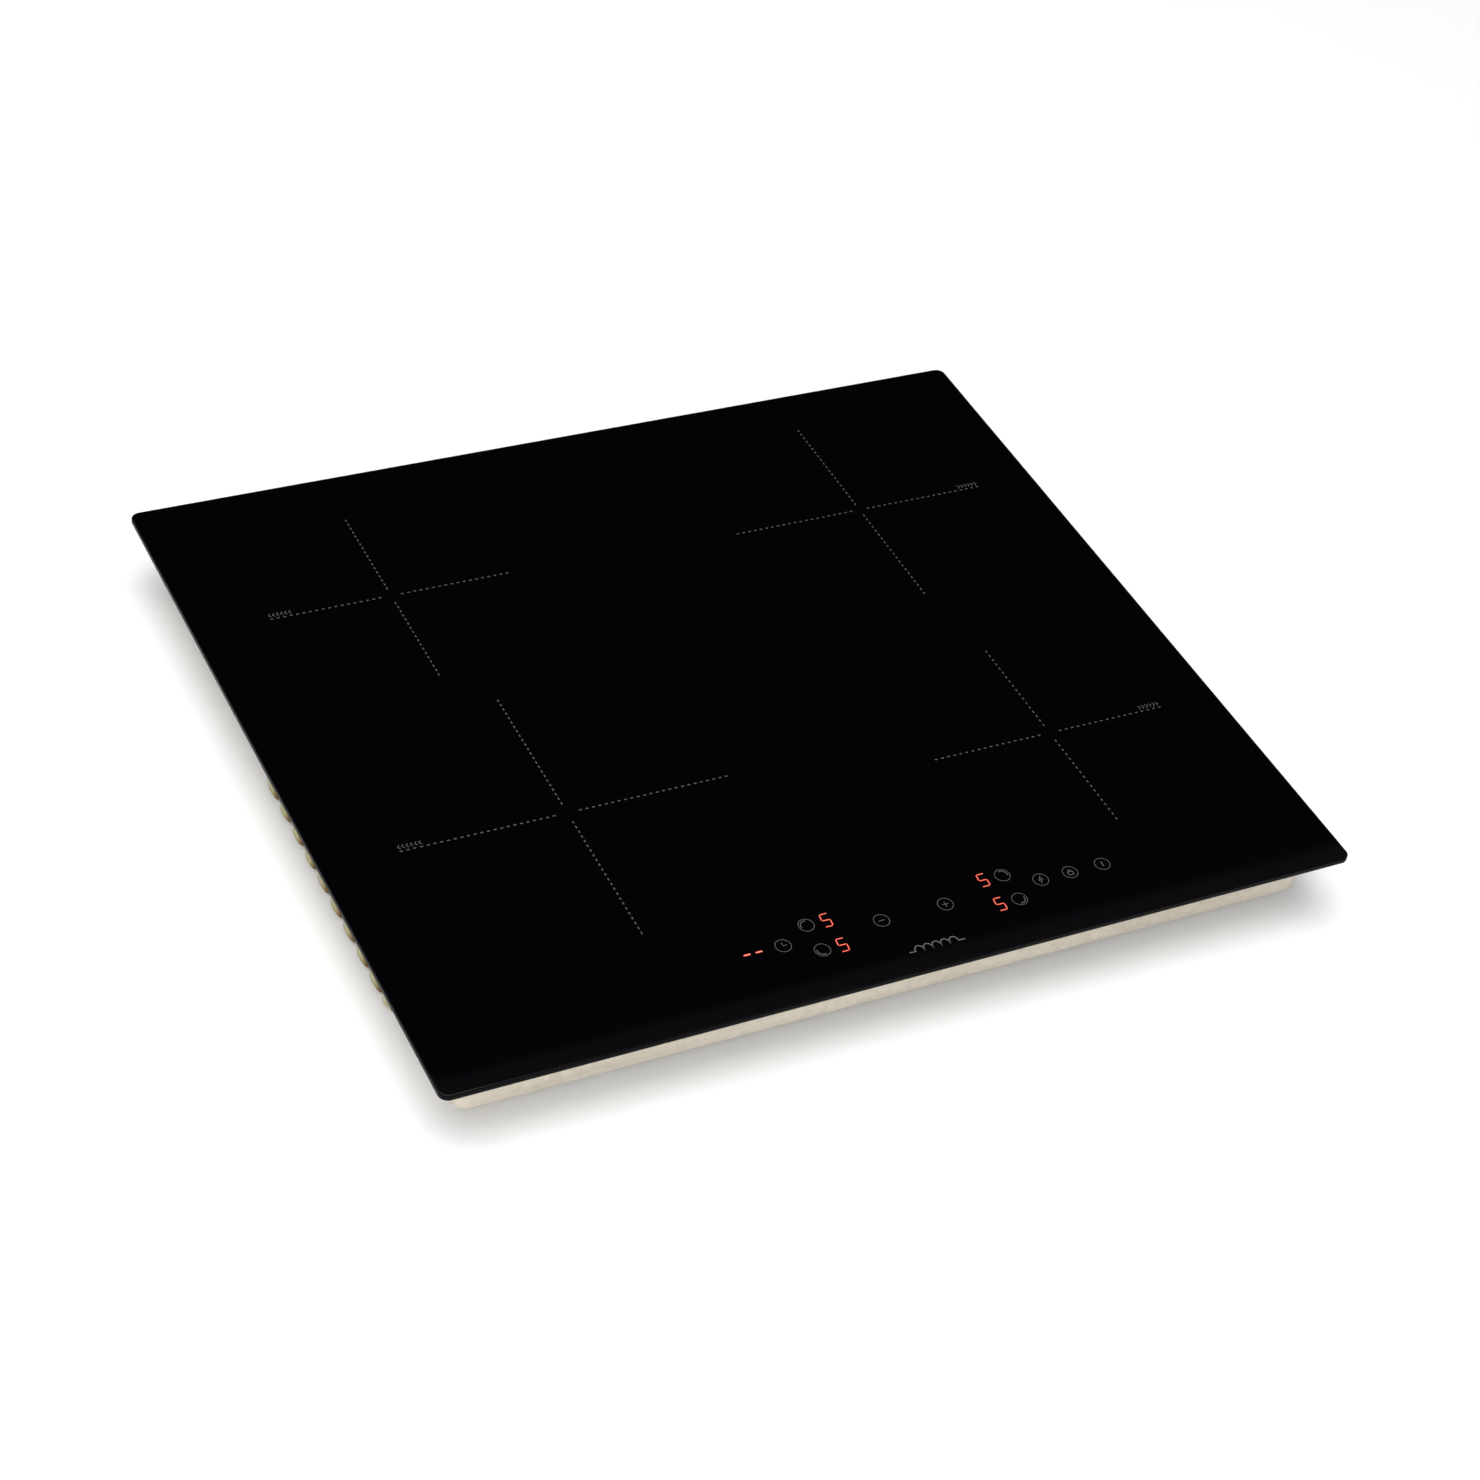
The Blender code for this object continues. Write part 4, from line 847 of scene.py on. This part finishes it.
def press_case():
    x, y = (tray_low.x, tray_high.x), (tray_low.y, tray_high.y)
    case = show("case_pressed", pan(x, y, (ledge, tray_high.z), RIM_CORNER, BEND), warm_zinc)
    inside_rim = ledge + 0.5 * SHEET
    carve(case, pan(SUMP_X, SUMP_Y, (0, inside_rim), SUMP_CORNER, BEND), "UNION")
    carve(case, pan(BAY_X, BAY_Y, (0, ledge + 2.5 * BEND), BAY_CORNER, BEND), "UNION")
    hollow = (SHEET, ledge + 3 * SHEET)
    carve(case, pan(x, y, (ledge + SHEET, tray_high.z - SHEET), RIM_CORNER, BEND, SHEET))
    carve(case, pan(SUMP_X, SUMP_Y, hollow, SUMP_CORNER, BEND, SHEET))
    carve(case, pan(BAY_X, BAY_Y, hollow, BAY_CORNER, BEND, SHEET))
    mouth = (tray_high.z - 2 * SHEET, tray_high.z + SHEET)
    carve(case, block(shrink(x, FLANGE), shrink(y, FLANGE), mouth, MOUTH_CORNER, NO_BEND,
                      NO_BEND))
    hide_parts("base_tray")
    return case


case = press_case()
print("case has", len(case.data.polygons), "faces before its vents")

# %% [markdown]
# ## Vents, beads and screws in the case
#
# The fans draw air in through slots in the floor and blow it out at the sides. A thin floor that
# wide would drum, so long beads are pressed into it. The screws that hold the boards sit in
# shallow dimples, which keeps their heads above the lowest plane.

# %% Cut the vents
FAN = {side: middle_of("fan_rotor_" + side) for side in ("left", "right")}
INTAKE = 0.026  # radius of the round field of slots
SLOT = 3.2 * MILLIMETRE
SLOT_PITCH = 6.6 * MILLIMETRE
REAR_SLOTS = 12
REAR_START = -0.205
REAR_SLOT = 4.0 * MILLIMETRE
REAR_PITCH = 10.0 * MILLIMETRE
ROUND_END = 0.999  # a hair under a full half circle, so that no two points fall together


def floor_slot(bm, x, y, z):
    """A slot with round ends along X, cut upwards."""
    radius = (y[1] - y[0]) / 2 * ROUND_END
    loft(bm, x, y, radius, [(0, z[0]), (0, z[1])], 5)


def wall_slot(bm, x, y, z):
    """A slot with round ends along Z, cut through a wall along Y."""
    radius = (x[1] - x[0]) / 2 * ROUND_END
    outline = rounded_rectangle(z, x, radius, 5)
    skin(bm, [[(across, depth, up) for up, across in outline] for depth in y])


def fan_slots():
    bm = bmesh.new()
    for fan in FAN.values():
        for row in range(-3, 4):
            offset = row * SLOT_PITCH
            half = math.sqrt(INTAKE ** 2 - offset ** 2)
            y = fan.y + offset
            floor_slot(bm, (fan.x - half, fan.x + half), (y - SLOT / 2, y + SLOT / 2),
                       (-SHEET, 2 * SHEET))
    return bm


def rear_slots():
    bm = bmesh.new()
    for i in range(REAR_SLOTS):
        x = REAR_START + i * REAR_PITCH
        wall_slot(bm, (x, x + REAR_SLOT), (tray_high.y - 2 * SHEET, tray_high.y + SHEET),
                  (ledge + 8 * MILLIMETRE, ledge + 20 * MILLIMETRE))
    return bm


def side_windows():
    bm = bmesh.new()
    low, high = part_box("louvre_strip_left")
    margin = 2.2 * MILLIMETRE
    for side in (-1, 1):
        wall = side * BAY_X[1]
        loft(bm, sorted((wall - 2 * SHEET, wall + SHEET)), shrink((low.y, high.y), margin),
             0.2 * MILLIMETRE, [(0, low.z + margin), (0, high.z - margin)], 1)
    return bm


for cutter in (fan_slots(), rear_slots(), side_windows()):
    carve(case, cutter)
print("fan slots round", [tuple(round(c, 3) for c in fan.xy) for fan in FAN.values()])

# %% Cut the terminal opening and the screw holes
CLAMPS = [f"{end}_{side}" for end in ("front", "rear") for side in ("left", "right")]
CLAMP_HOLE = 2.2 * MILLIMETRE  # radius


def rod(bm, at, radius, z, steps=24):
    """An upright cylinder."""
    depth = z[1] - z[0]
    place = Matrix.Translation((at[0], at[1], z[0] + depth / 2))
    bmesh.ops.create_cone(bm, cap_ends=True, segments=steps, radius1=radius, radius2=radius,
                          depth=depth, matrix=place)


def terminal_opening():
    low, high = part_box("terminal_box")
    gap = 0.3 * MILLIMETRE
    return block((low.x - gap, high.x + gap), (tray_high.y - 2 * SHEET, tray_high.y + SHEET),
                 (low.z - gap, high.z + gap), 0.2 * MILLIMETRE, NO_BEND, NO_BEND, 1)


def clamp_holes():
    bm = bmesh.new()
    for clamp in CLAMPS:
        at = middle_of("clamp_screw_" + clamp)
        rod(bm, at.xy, CLAMP_HOLE, (ledge - SHEET, ledge + 2 * SHEET))
    return bm


for cutter in (terminal_opening(), clamp_holes()):
    carve(case, cutter)
print("clamp screws at", [tuple(round(c, 3) for c in middle_of("clamp_screw_" + c).xy)
                          for c in CLAMPS])

# %% Press the beads and dimples
BEAD_DEPTH = 0.55 * MILLIMETRE
BEAD_WIDTH = 9 * MILLIMETRE
# the groove's slope: inset and height of each step
BEAD_PROFILE = ((0, -0.02 * MILLIMETRE), (0.5 * MILLIMETRE, 0.25 * MILLIMETRE),
                (1.2 * MILLIMETRE, 0.5 * MILLIMETRE), (2.2 * MILLIMETRE, BEAD_DEPTH))
BEADS = (((-0.055, -0.130), (-0.055, 0.165)), ((0.055, -0.130), (0.055, 0.165)),
         ((-0.215, -0.140), (-0.085, -0.140)), ((0.085, -0.140), (0.215, -0.140)))
DIMPLE = 4.6 * MILLIMETRE  # radius
BOARD_FOOT = 6 * MILLIMETRE  # a foot's middle from the board's edges


def bead_shape(bm, start, end):
    """A long low rounded groove: a strip of the floor pushed up into the case."""
    half = BEAD_WIDTH / 2
    loft(bm, (start[0] - half, end[0] + half), (start[1] - half, end[1] + half), half,
         BEAD_PROFILE, 10)


def board_screws():
    """Where the boards' feet stand on the floor."""
    places = []
    for node in ("power_board_left", "power_board_right", "filter_board"):
        low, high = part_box(node)
        places += [(x, y) for x in shrink((low.x, high.x), BOARD_FOOT)
                   for y in shrink((low.y, high.y), BOARD_FOOT)]
    return places


def press_floor():
    beads = bmesh.new()
    for start, end in BEADS:
        bead_shape(beads, start, end)
    carve(case, beads)
    dimples = bmesh.new()
    for at in board_screws():
        rod(dimples, at, DIMPLE, (-SHEET, BEAD_DEPTH), 28)
    carve(case, dimples)
    crisp(case)


press_floor()
print("case now has", len(case.data.polygons), "faces")

# %% [markdown]
# ## The louvre strips
#
# Warm air leaves through a row of pressed hoods low on each side. They are made from a separate
# strip with a yellow chromate finish, which gives them their olive and brass tint. A hood is half
# a dome: steep at its closed side, open underneath. The dome's shell is joined to the strip and
# hollowed, so that each mouth is really open. The brown ends are where the film is thickest, in
# the tight folds.

# %% Make the louvres
FULL_HOODS = 9
SHORT_HOOD = 7.8 * MILLIMETRE  # length of the last one, at the front
HOOD_SPACE = 3.1 * MILLIMETRE
STRIP_END = 2.8 * MILLIMETRE
HOOD_WALL = 0.6 * MILLIMETRE
HOOD_RISE = 5.2 * MILLIMETRE
STRIP = 0.8 * MILLIMETRE
LIP = 1.2 * MILLIMETRE  # hood mouth above the strip's lower edge


def chromate_finish_with_tip_shade(first_tip, pitch):
    """Olive chromate with painted shade and reflection: brown at the front tip of every hood, a
    ramp repeated along Y.
    """
    film_and_tip_shade = start_material("yellow_chromate_with_painted_tip_shade", (0.44, 0.40, 0.26), 0.38, 0.55)
    nodes, links = film_and_tip_shade.node_tree.nodes, film_and_tip_shade.node_tree.links
    where = nodes.new("ShaderNodeTexCoord")
    split = nodes.new("ShaderNodeSeparateXYZ")
    count = nodes.new("ShaderNodeMapRange")
    count.clamp = False
    count.inputs["From Min"].default_value = first_tip
    count.inputs["From Max"].default_value = first_tip + pitch
    repeat = nodes.new("ShaderNodeMath")
    repeat.operation = "FRACT"
    links.new(where.outputs["Object"], split.inputs[0])
    links.new(split.outputs["Y"], count.inputs["Value"])
    links.new(count.outputs["Result"], repeat.inputs[0])
    tint_and_tip_shade = nodes.new("ShaderNodeValToRGB")
    # The brown stops at each hood's front tip are painted shade and reflection; the ramp gets paler
    # towards the hood's back.
    stops = tint_and_tip_shade.color_ramp.elements
    stops[0].color = (0.13, 0.050, 0.006, 1)
    stops[1].position, stops[1].color = 0.9, (0.60, 0.57, 0.44, 1)
    for place, colour in ((0.08, (0.18, 0.09, 0.015, 1)), (0.30, (0.43, 0.39, 0.19, 1)),
                          (0.55, (0.49, 0.46, 0.28, 1))):
        stops.new(place).color = colour
    links.new(repeat.outputs[0], tint_and_tip_shade.inputs[0])
    mottle = nodes.new("ShaderNodeMix")
    mottle.data_type = "RGBA"
    mottle.blend_type = "MULTIPLY"
    mottle.inputs["Factor"].default_value = 0.35
    links.new(tint_and_tip_shade.outputs[0], mottle.inputs["A"])
    links.new(spread(film_and_tip_shade, pattern(film_and_tip_shade, 220, detail=5), 0.55, 1.0), mottle.inputs["B"])
    links.new(mottle.outputs["Result"], nodes["Principled BSDF"].inputs["Base Color"])
    dull(film_and_tip_shade, pattern(film_and_tip_shade, 500), 0.30, 0.45)
    return film_and_tip_shade


def dome(bm, middle, radii, steps=20):
    """The upper half of an ellipsoid, closed underneath."""
    shape = bmesh.new()
    place = Matrix.Translation(middle) @ Matrix.Diagonal((*radii, 1))
    bmesh.ops.create_uvsphere(shape, u_segments=steps, v_segments=12, radius=1, matrix=place)
    bmesh.ops.bisect_plane(shape, geom=[*shape.verts, *shape.edges, *shape.faces],
                           plane_co=middle, plane_no=(0, 0, 1), clear_inner=True)
    bmesh.ops.holes_fill(shape, edges=[e for e in shape.edges if e.is_boundary])
    add(bm, shape)


def add(bm, shape):
    mesh = bpy.data.meshes.new("passing")
    shape.to_mesh(mesh)
    shape.free()
    bm.from_mesh(mesh)
    bpy.data.meshes.remove(mesh)


def hood_places(low, high, pitch):
    """Middle and half length of each hood along the strip, from the back."""
    half = (pitch - HOOD_SPACE) / 2
    places = [(high - STRIP_END - half - i * pitch, half) for i in range(FULL_HOODS)]
    return [*places, (low + STRIP_END + SHORT_HOOD / 2, SHORT_HOOD / 2)]


def make_louvres(side):
    node = "louvre_strip_" + side
    low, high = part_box(node)
    way = 1 if side == "right" else -1
    inner = min(abs(low.x), abs(high.x))
    reach = max(abs(low.x), abs(high.x)) - inner
    centre = way * (inner + STRIP / 2)
    pitch = (high.y - low.y - 2 * STRIP_END - SHORT_HOOD) / FULL_HOODS
    strip = block(sorted((way * inner, way * (inner + STRIP))), (low.y, high.y), (low.z, high.z),
                  0.15 * MILLIMETRE, 0.2 * MILLIMETRE, 0.2 * MILLIMETRE, 2)
    piece = show(f"louvres_{side}", strip, chromate_finish_with_tip_shade(high.y - STRIP_END + HOOD_SPACE, pitch))
    hoods, hollows = bmesh.new(), bmesh.new()
    mouth = low.z + LIP
    for y, half in hood_places(low.y, high.y, pitch):
        radii = Vector((reach - STRIP / 2, half, HOOD_RISE))
        dome(hoods, (centre, y, mouth), radii)
        dome(hollows, (centre, y, mouth - 0.2 * MILLIMETRE), [r - HOOD_WALL for r in radii])
    carve(piece, hoods, "UNION")
    carve(piece, hollows)
    behind = sorted((way * (inner - 0.01), way * inner))
    carve(piece, block(behind, (low.y - 0.01, high.y + 0.01), (low.z - 0.01, high.z + 0.01),
                       0.001, NO_BEND, NO_BEND, 1))
    crisp(piece, 32)
    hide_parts(node)
    return pitch


for side in ("left", "right"):
    print(side, "hoods every", round(make_louvres(side) / MILLIMETRE, 2), "mm")

# %% [markdown]
# ## Everything else, by finish
#
# The remaining pieces already have their true shape in the working model. What they lack is
# rounded edges and a finish. `soften` shows a bevelled copy of a piece, and `dress` only gives it
# a material, which is enough for a wire, a seal or a sheet.

# %% Mix the other metals


def brushed(name, dark, light, roughness, metallic=1.0, stretch=(1, 12, 1)):
    metal = start_material(name, light, roughness, metallic)
    grain = pattern(metal, 120, stretch=stretch, detail=8)
    blotch(metal, grain, (dark, light))
    dull(metal, grain, roughness * 0.8, roughness * 1.3)
    relief(metal, grain, 0.00002, 0.4)
    return metal


rolled_aluminium = brushed("rolled_aluminium", (0.66, 0.67, 0.69), (0.80, 0.81, 0.83), 0.34)
bright_zinc = brushed("bright_zinc_plate", (0.55, 0.56, 0.58), (0.74, 0.75, 0.78), 0.24)
spring_wire = brushed("spring_wire", (0.50, 0.50, 0.50), (0.72, 0.72, 0.71), 0.25)


def enamelled_copper():
    """Litz wire: hundreds of lacquered strands twisted into one, so it glints in slanting lines."""
    copper = start_material("enamelled_litz_wire", (0.62, 0.27, 0.12), 0.38, 0.85)
    strands = pattern(copper, 420, stretch=(1, 1, 0.4), detail=2)
    blotch(copper, strands, ((0.42, 0.15, 0.055), (0.78, 0.38, 0.18)))
    relief(copper, strands, 0.0002, 0.8)
    return copper


litz = enamelled_copper()

# %% Mix the plastics, rubbers and boards


def moulded(name, dark, light, roughness, grain=1800, depth=0.00004):
    plastic = start_material(name, light, roughness)
    texture = pattern(plastic, grain, detail=3)
    blotch(plastic, texture, (dark, light))
    dull(plastic, pattern(plastic, 60), roughness * 0.85, roughness * 1.15)
    relief(plastic, texture, depth, 0.5)
    return plastic


black_plastic = moulded("black_textured_plastic", (0.012, 0.012, 0.012), (0.028, 0.028, 0.029), 0.5)
grey_plastic = moulded("grey_plastic", (0.29, 0.29, 0.30), (0.38, 0.38, 0.39), 0.45)
white_plastic = moulded("white_coil_plastic", (0.72, 0.70, 0.64), (0.83, 0.82, 0.77), 0.5)
foam = moulded("closed_cell_foam", (0.015, 0.015, 0.015), (0.045, 0.045, 0.045), 0.9, 1400, 0.0004)
silicone = moulded("white_silicone", (0.66, 0.66, 0.63), (0.80, 0.80, 0.77), 0.5, 300, 0.0002)
red_rubber = moulded("red_silicone_rubber", (0.42, 0.10, 0.06), (0.60, 0.18, 0.11), 0.6, 700)
cable = moulded("silicone_cable_sleeve", (0.64, 0.62, 0.57), (0.80, 0.78, 0.73), 0.5, 900)
ferrite = moulded("sintered_ferrite", (0.035, 0.035, 0.040), (0.075, 0.075, 0.080), 0.55, 900)
mica = moulded("pressed_mica", (0.48, 0.45, 0.36), (0.70, 0.67, 0.57), 0.45, 220, 0.0001)


def circuit_board():
    """Solder mask over copper tracks: two greens in a pattern of squares and lines."""
    board = start_material("circuit_board_mask", (0.02, 0.16, 0.07), 0.35)
    tracks = pattern(board, 180, stretch=(1, 1, 0.2), kind="cells")
    blotch(board, tracks, ((0.010, 0.11, 0.045), (0.035, 0.22, 0.10)), 0.45, 0.55)
    relief(board, tracks, 0.00008, 0.5)
    return board


green_board = circuit_board()
print(len(bpy.data.materials), "materials mixed")

# %% Dress the pieces that only need a finish
SIDES = ("left", "right")
ZONES = tuple(CROSSES)
dress("worktop_gasket", foam)
dress("glass_seal", silicone)
dress("mica_sheet", mica)
dress("ribbon_cable", grey_plastic)
dress("mains_lead", cable)
for side in SIDES:
    dress("coil_leads_" + side, cable)
for zone in ZONES:
    dress("ferrite_set_" + zone, ferrite)
    dress("temperature_sensor_" + zone, red_rubber)
print("dressed", 5 + len(SIDES) + 2 * len(ZONES), "pieces")

# %% Soften the edges of the rest
SOFTENED = {
    "control_holder": (0.3, black_plastic), "control_board": (0.15, green_board),
    "filter_board": (0.2, green_board), "terminal_box": (0.4, black_plastic),
    "terminal_block": (0.4, grey_plastic), "terminal_lid": (0.3, black_plastic),
}
for side in SIDES:
    SOFTENED["coil_carrier_" + side] = (0.3, rolled_aluminium)
    SOFTENED["power_board_" + side] = (0.2, green_board)
    SOFTENED["heat_sink_" + side] = (0.25, rolled_aluminium)
    SOFTENED["fan_housing_" + side] = (0.5, black_plastic)
    SOFTENED["fan_rotor_" + side] = (0.2, black_plastic)
for clamp in CLAMPS:
    SOFTENED["clamp_" + clamp] = (0.25, bright_zinc)
    SOFTENED["clamp_screw_" + clamp] = (0.2, bright_zinc)
for zone in ZONES:
    SOFTENED["coil_former_" + zone] = (0.2, white_plastic)
for node, (width, material) in SOFTENED.items():
    soften(node, width * MILLIMETRE, material)
print("softened", len(SOFTENED), "pieces")

# %% Light the display modules
for node in ("display_timer", "display_left_zones", "display_right_zones"):
    soften(node, 0.3 * MILLIMETRE, glow(node + "_lens", (0.9, 0.03, 0.015), 0.05))

# %% [markdown]
# ## The coils
#
# A coil is one long litz wire wound flat, like a garden hose on the ground. A spiral is a circle
# whose radius grows steadily with the angle, so its points come from one short formula, and a
# curve with a bevel turns them into wire.

# %% Wind the coils
LITZ = 1.85 * MILLIMETRE  # wire radius
INNER = {"left_rear": 0.024, "left_front": 0.030, "right_rear": 0.026, "right_front": 0.024}
POINTS_PER_TURN = 36


def wire(name, points, radius, material):
    """A round wire along points."""
    curve = bpy.data.curves.new(name, "CURVE")
    curve.dimensions = "3D"
    curve.bevel_depth = radius
    curve.bevel_resolution = 2
    curve.use_fill_caps = True
    spline = curve.splines.new("POLY")
    spline.points.add(len(points) - 1)
    for place, point in zip(spline.points, points):
        place.co = (*point, 1)
    curve.materials.append(material)
    piece = bpy.data.objects.new(name, curve)
    scene.collection.objects.link(piece)
    return piece


def wind(zone):
    node = "coil_winding_" + zone
    low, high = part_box(node)
    middle = (low + high) / 2
    outer = (high.x - low.x) / 2 - LITZ
    inner = INNER[zone] + LITZ
    turns = round((outer - inner) / (2 * LITZ * 1.03))
    count = turns * POINTS_PER_TURN
    points = []
    for i in range(count + 1):
        angle = 2 * math.pi * i / POINTS_PER_TURN
        radius = inner + (outer - inner) * i / count
        points.append((middle.x + radius * math.cos(angle), middle.y + radius * math.sin(angle),
                       middle.z))
    coil = wire("litz_coil_" + zone, points, LITZ, litz)
    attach(coil, frame["nodes"][node]["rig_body"])
    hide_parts(node)
    return turns


for zone in ZONES:
    print(zone, wind(zone), "turns")

# %% [markdown]
# ## The carrier springs
#
# Three springs under each carrier press its coils against the glass. A spring is a circle that
# climbs as it goes round, with a flat foot and a flat top to stand on. It needs a mesh, which
# the curve is turned into.

# %% Wind the springs
SPRING_WIRE = 0.6 * MILLIMETRE  # radius
SPRING_TURNS = 5
FLAT_TURN = 0.7  # how much of the first and the last turn lies flat


def helix(low, high):
    """Points up a spring that fills a box."""
    middle = (low + high) / 2
    radius = (high.x - low.x) / 2 - SPRING_WIRE
    foot = low.z + SPRING_WIRE
    rise = high.z - SPRING_WIRE - foot
    points = []
    for i in range(SPRING_TURNS * 24 + 1):
        turn = i / 24
        climbed = (turn - FLAT_TURN) / (SPRING_TURNS - 2 * FLAT_TURN)
        angle = 2 * math.pi * turn
        points.append((middle.x + radius * math.cos(angle), middle.y + radius * math.sin(angle),
                       foot + rise * min(max(climbed, 0), 1)))
    return points


def as_mesh(curve_piece):
    """The same piece as a closed mesh."""
    graph = bpy.context.evaluated_depsgraph_get()
    mesh = bpy.data.meshes.new_from_object(curve_piece.evaluated_get(graph))
    bm = bmesh.new()
    bm.from_mesh(mesh)
    bmesh.ops.remove_doubles(bm, verts=bm.verts, dist=1e-6)
    bm.to_mesh(mesh)
    bm.free()
    piece = bpy.data.objects.new(curve_piece.name + "_mesh", mesh)
    scene.collection.objects.link(piece)
    bpy.data.objects.remove(curve_piece)
    return piece


def wind_spring(node):
    low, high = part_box(node)
    spring = as_mesh(wire(node + "_wound", helix(low, high), SPRING_WIRE, spring_wire))
    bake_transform(spring)
    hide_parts(node)


for side in SIDES:
    for i in (1, 2, 3):
        wind_spring(f"carrier_spring_{side}_{i}")
print("wound", 3 * len(SIDES), "springs of", SPRING_TURNS, "turns")

# %% [markdown]
# ## Screws in the floor
#
# Pan-head screws hold the boards' feet. A screw head is a low dome with a cross cut into it: a
# turned shape, then two crossed slots. They lie in the dimples and stay above the lowest plane.

# %% Make the floor screws
HEAD = 3.4 * MILLIMETRE  # radius
HEAD_LOWEST = 0.1 * MILLIMETRE
HEAD_RISE = 0.5 * MILLIMETRE


def screw_head(at):
    """A low domed head that points down."""
    rings = []
    for angle in (80, 60, 40, 20, 0):
        slope = math.radians(angle)
        z = HEAD_LOWEST + HEAD_RISE * (1 - math.sin(slope))
        outline = arc(at, HEAD * math.cos(slope), 0, 360, 24)[:-1]
        rings.append([(*point, z) for point in outline])
    shape = bmesh.new()
    skin(shape, rings)
    return shape


def cross_recess(at):
    bm = bmesh.new()
    outline = cross_outline(at, 1.7 * MILLIMETRE, 0.4 * MILLIMETRE)
    prism(bm, outline, -SHEET, 0.4 * MILLIMETRE)
    return bm


def make_floor_screws():
    heads, recesses = bmesh.new(), bmesh.new()
    for at in board_screws():
        add(heads, screw_head(at))
        add(recesses, cross_recess(at))
    screws = show("floor_screws", heads, bright_zinc)
    carve(screws, recesses)
    crisp(screws)


make_floor_screws()
print(len(board_screws()), "floor screws")

# %% [markdown]
# ## Finish
#
# The last step sets the view transform to Standard.

# %% Set the view transform
scene.view_settings.view_transform = "Standard"
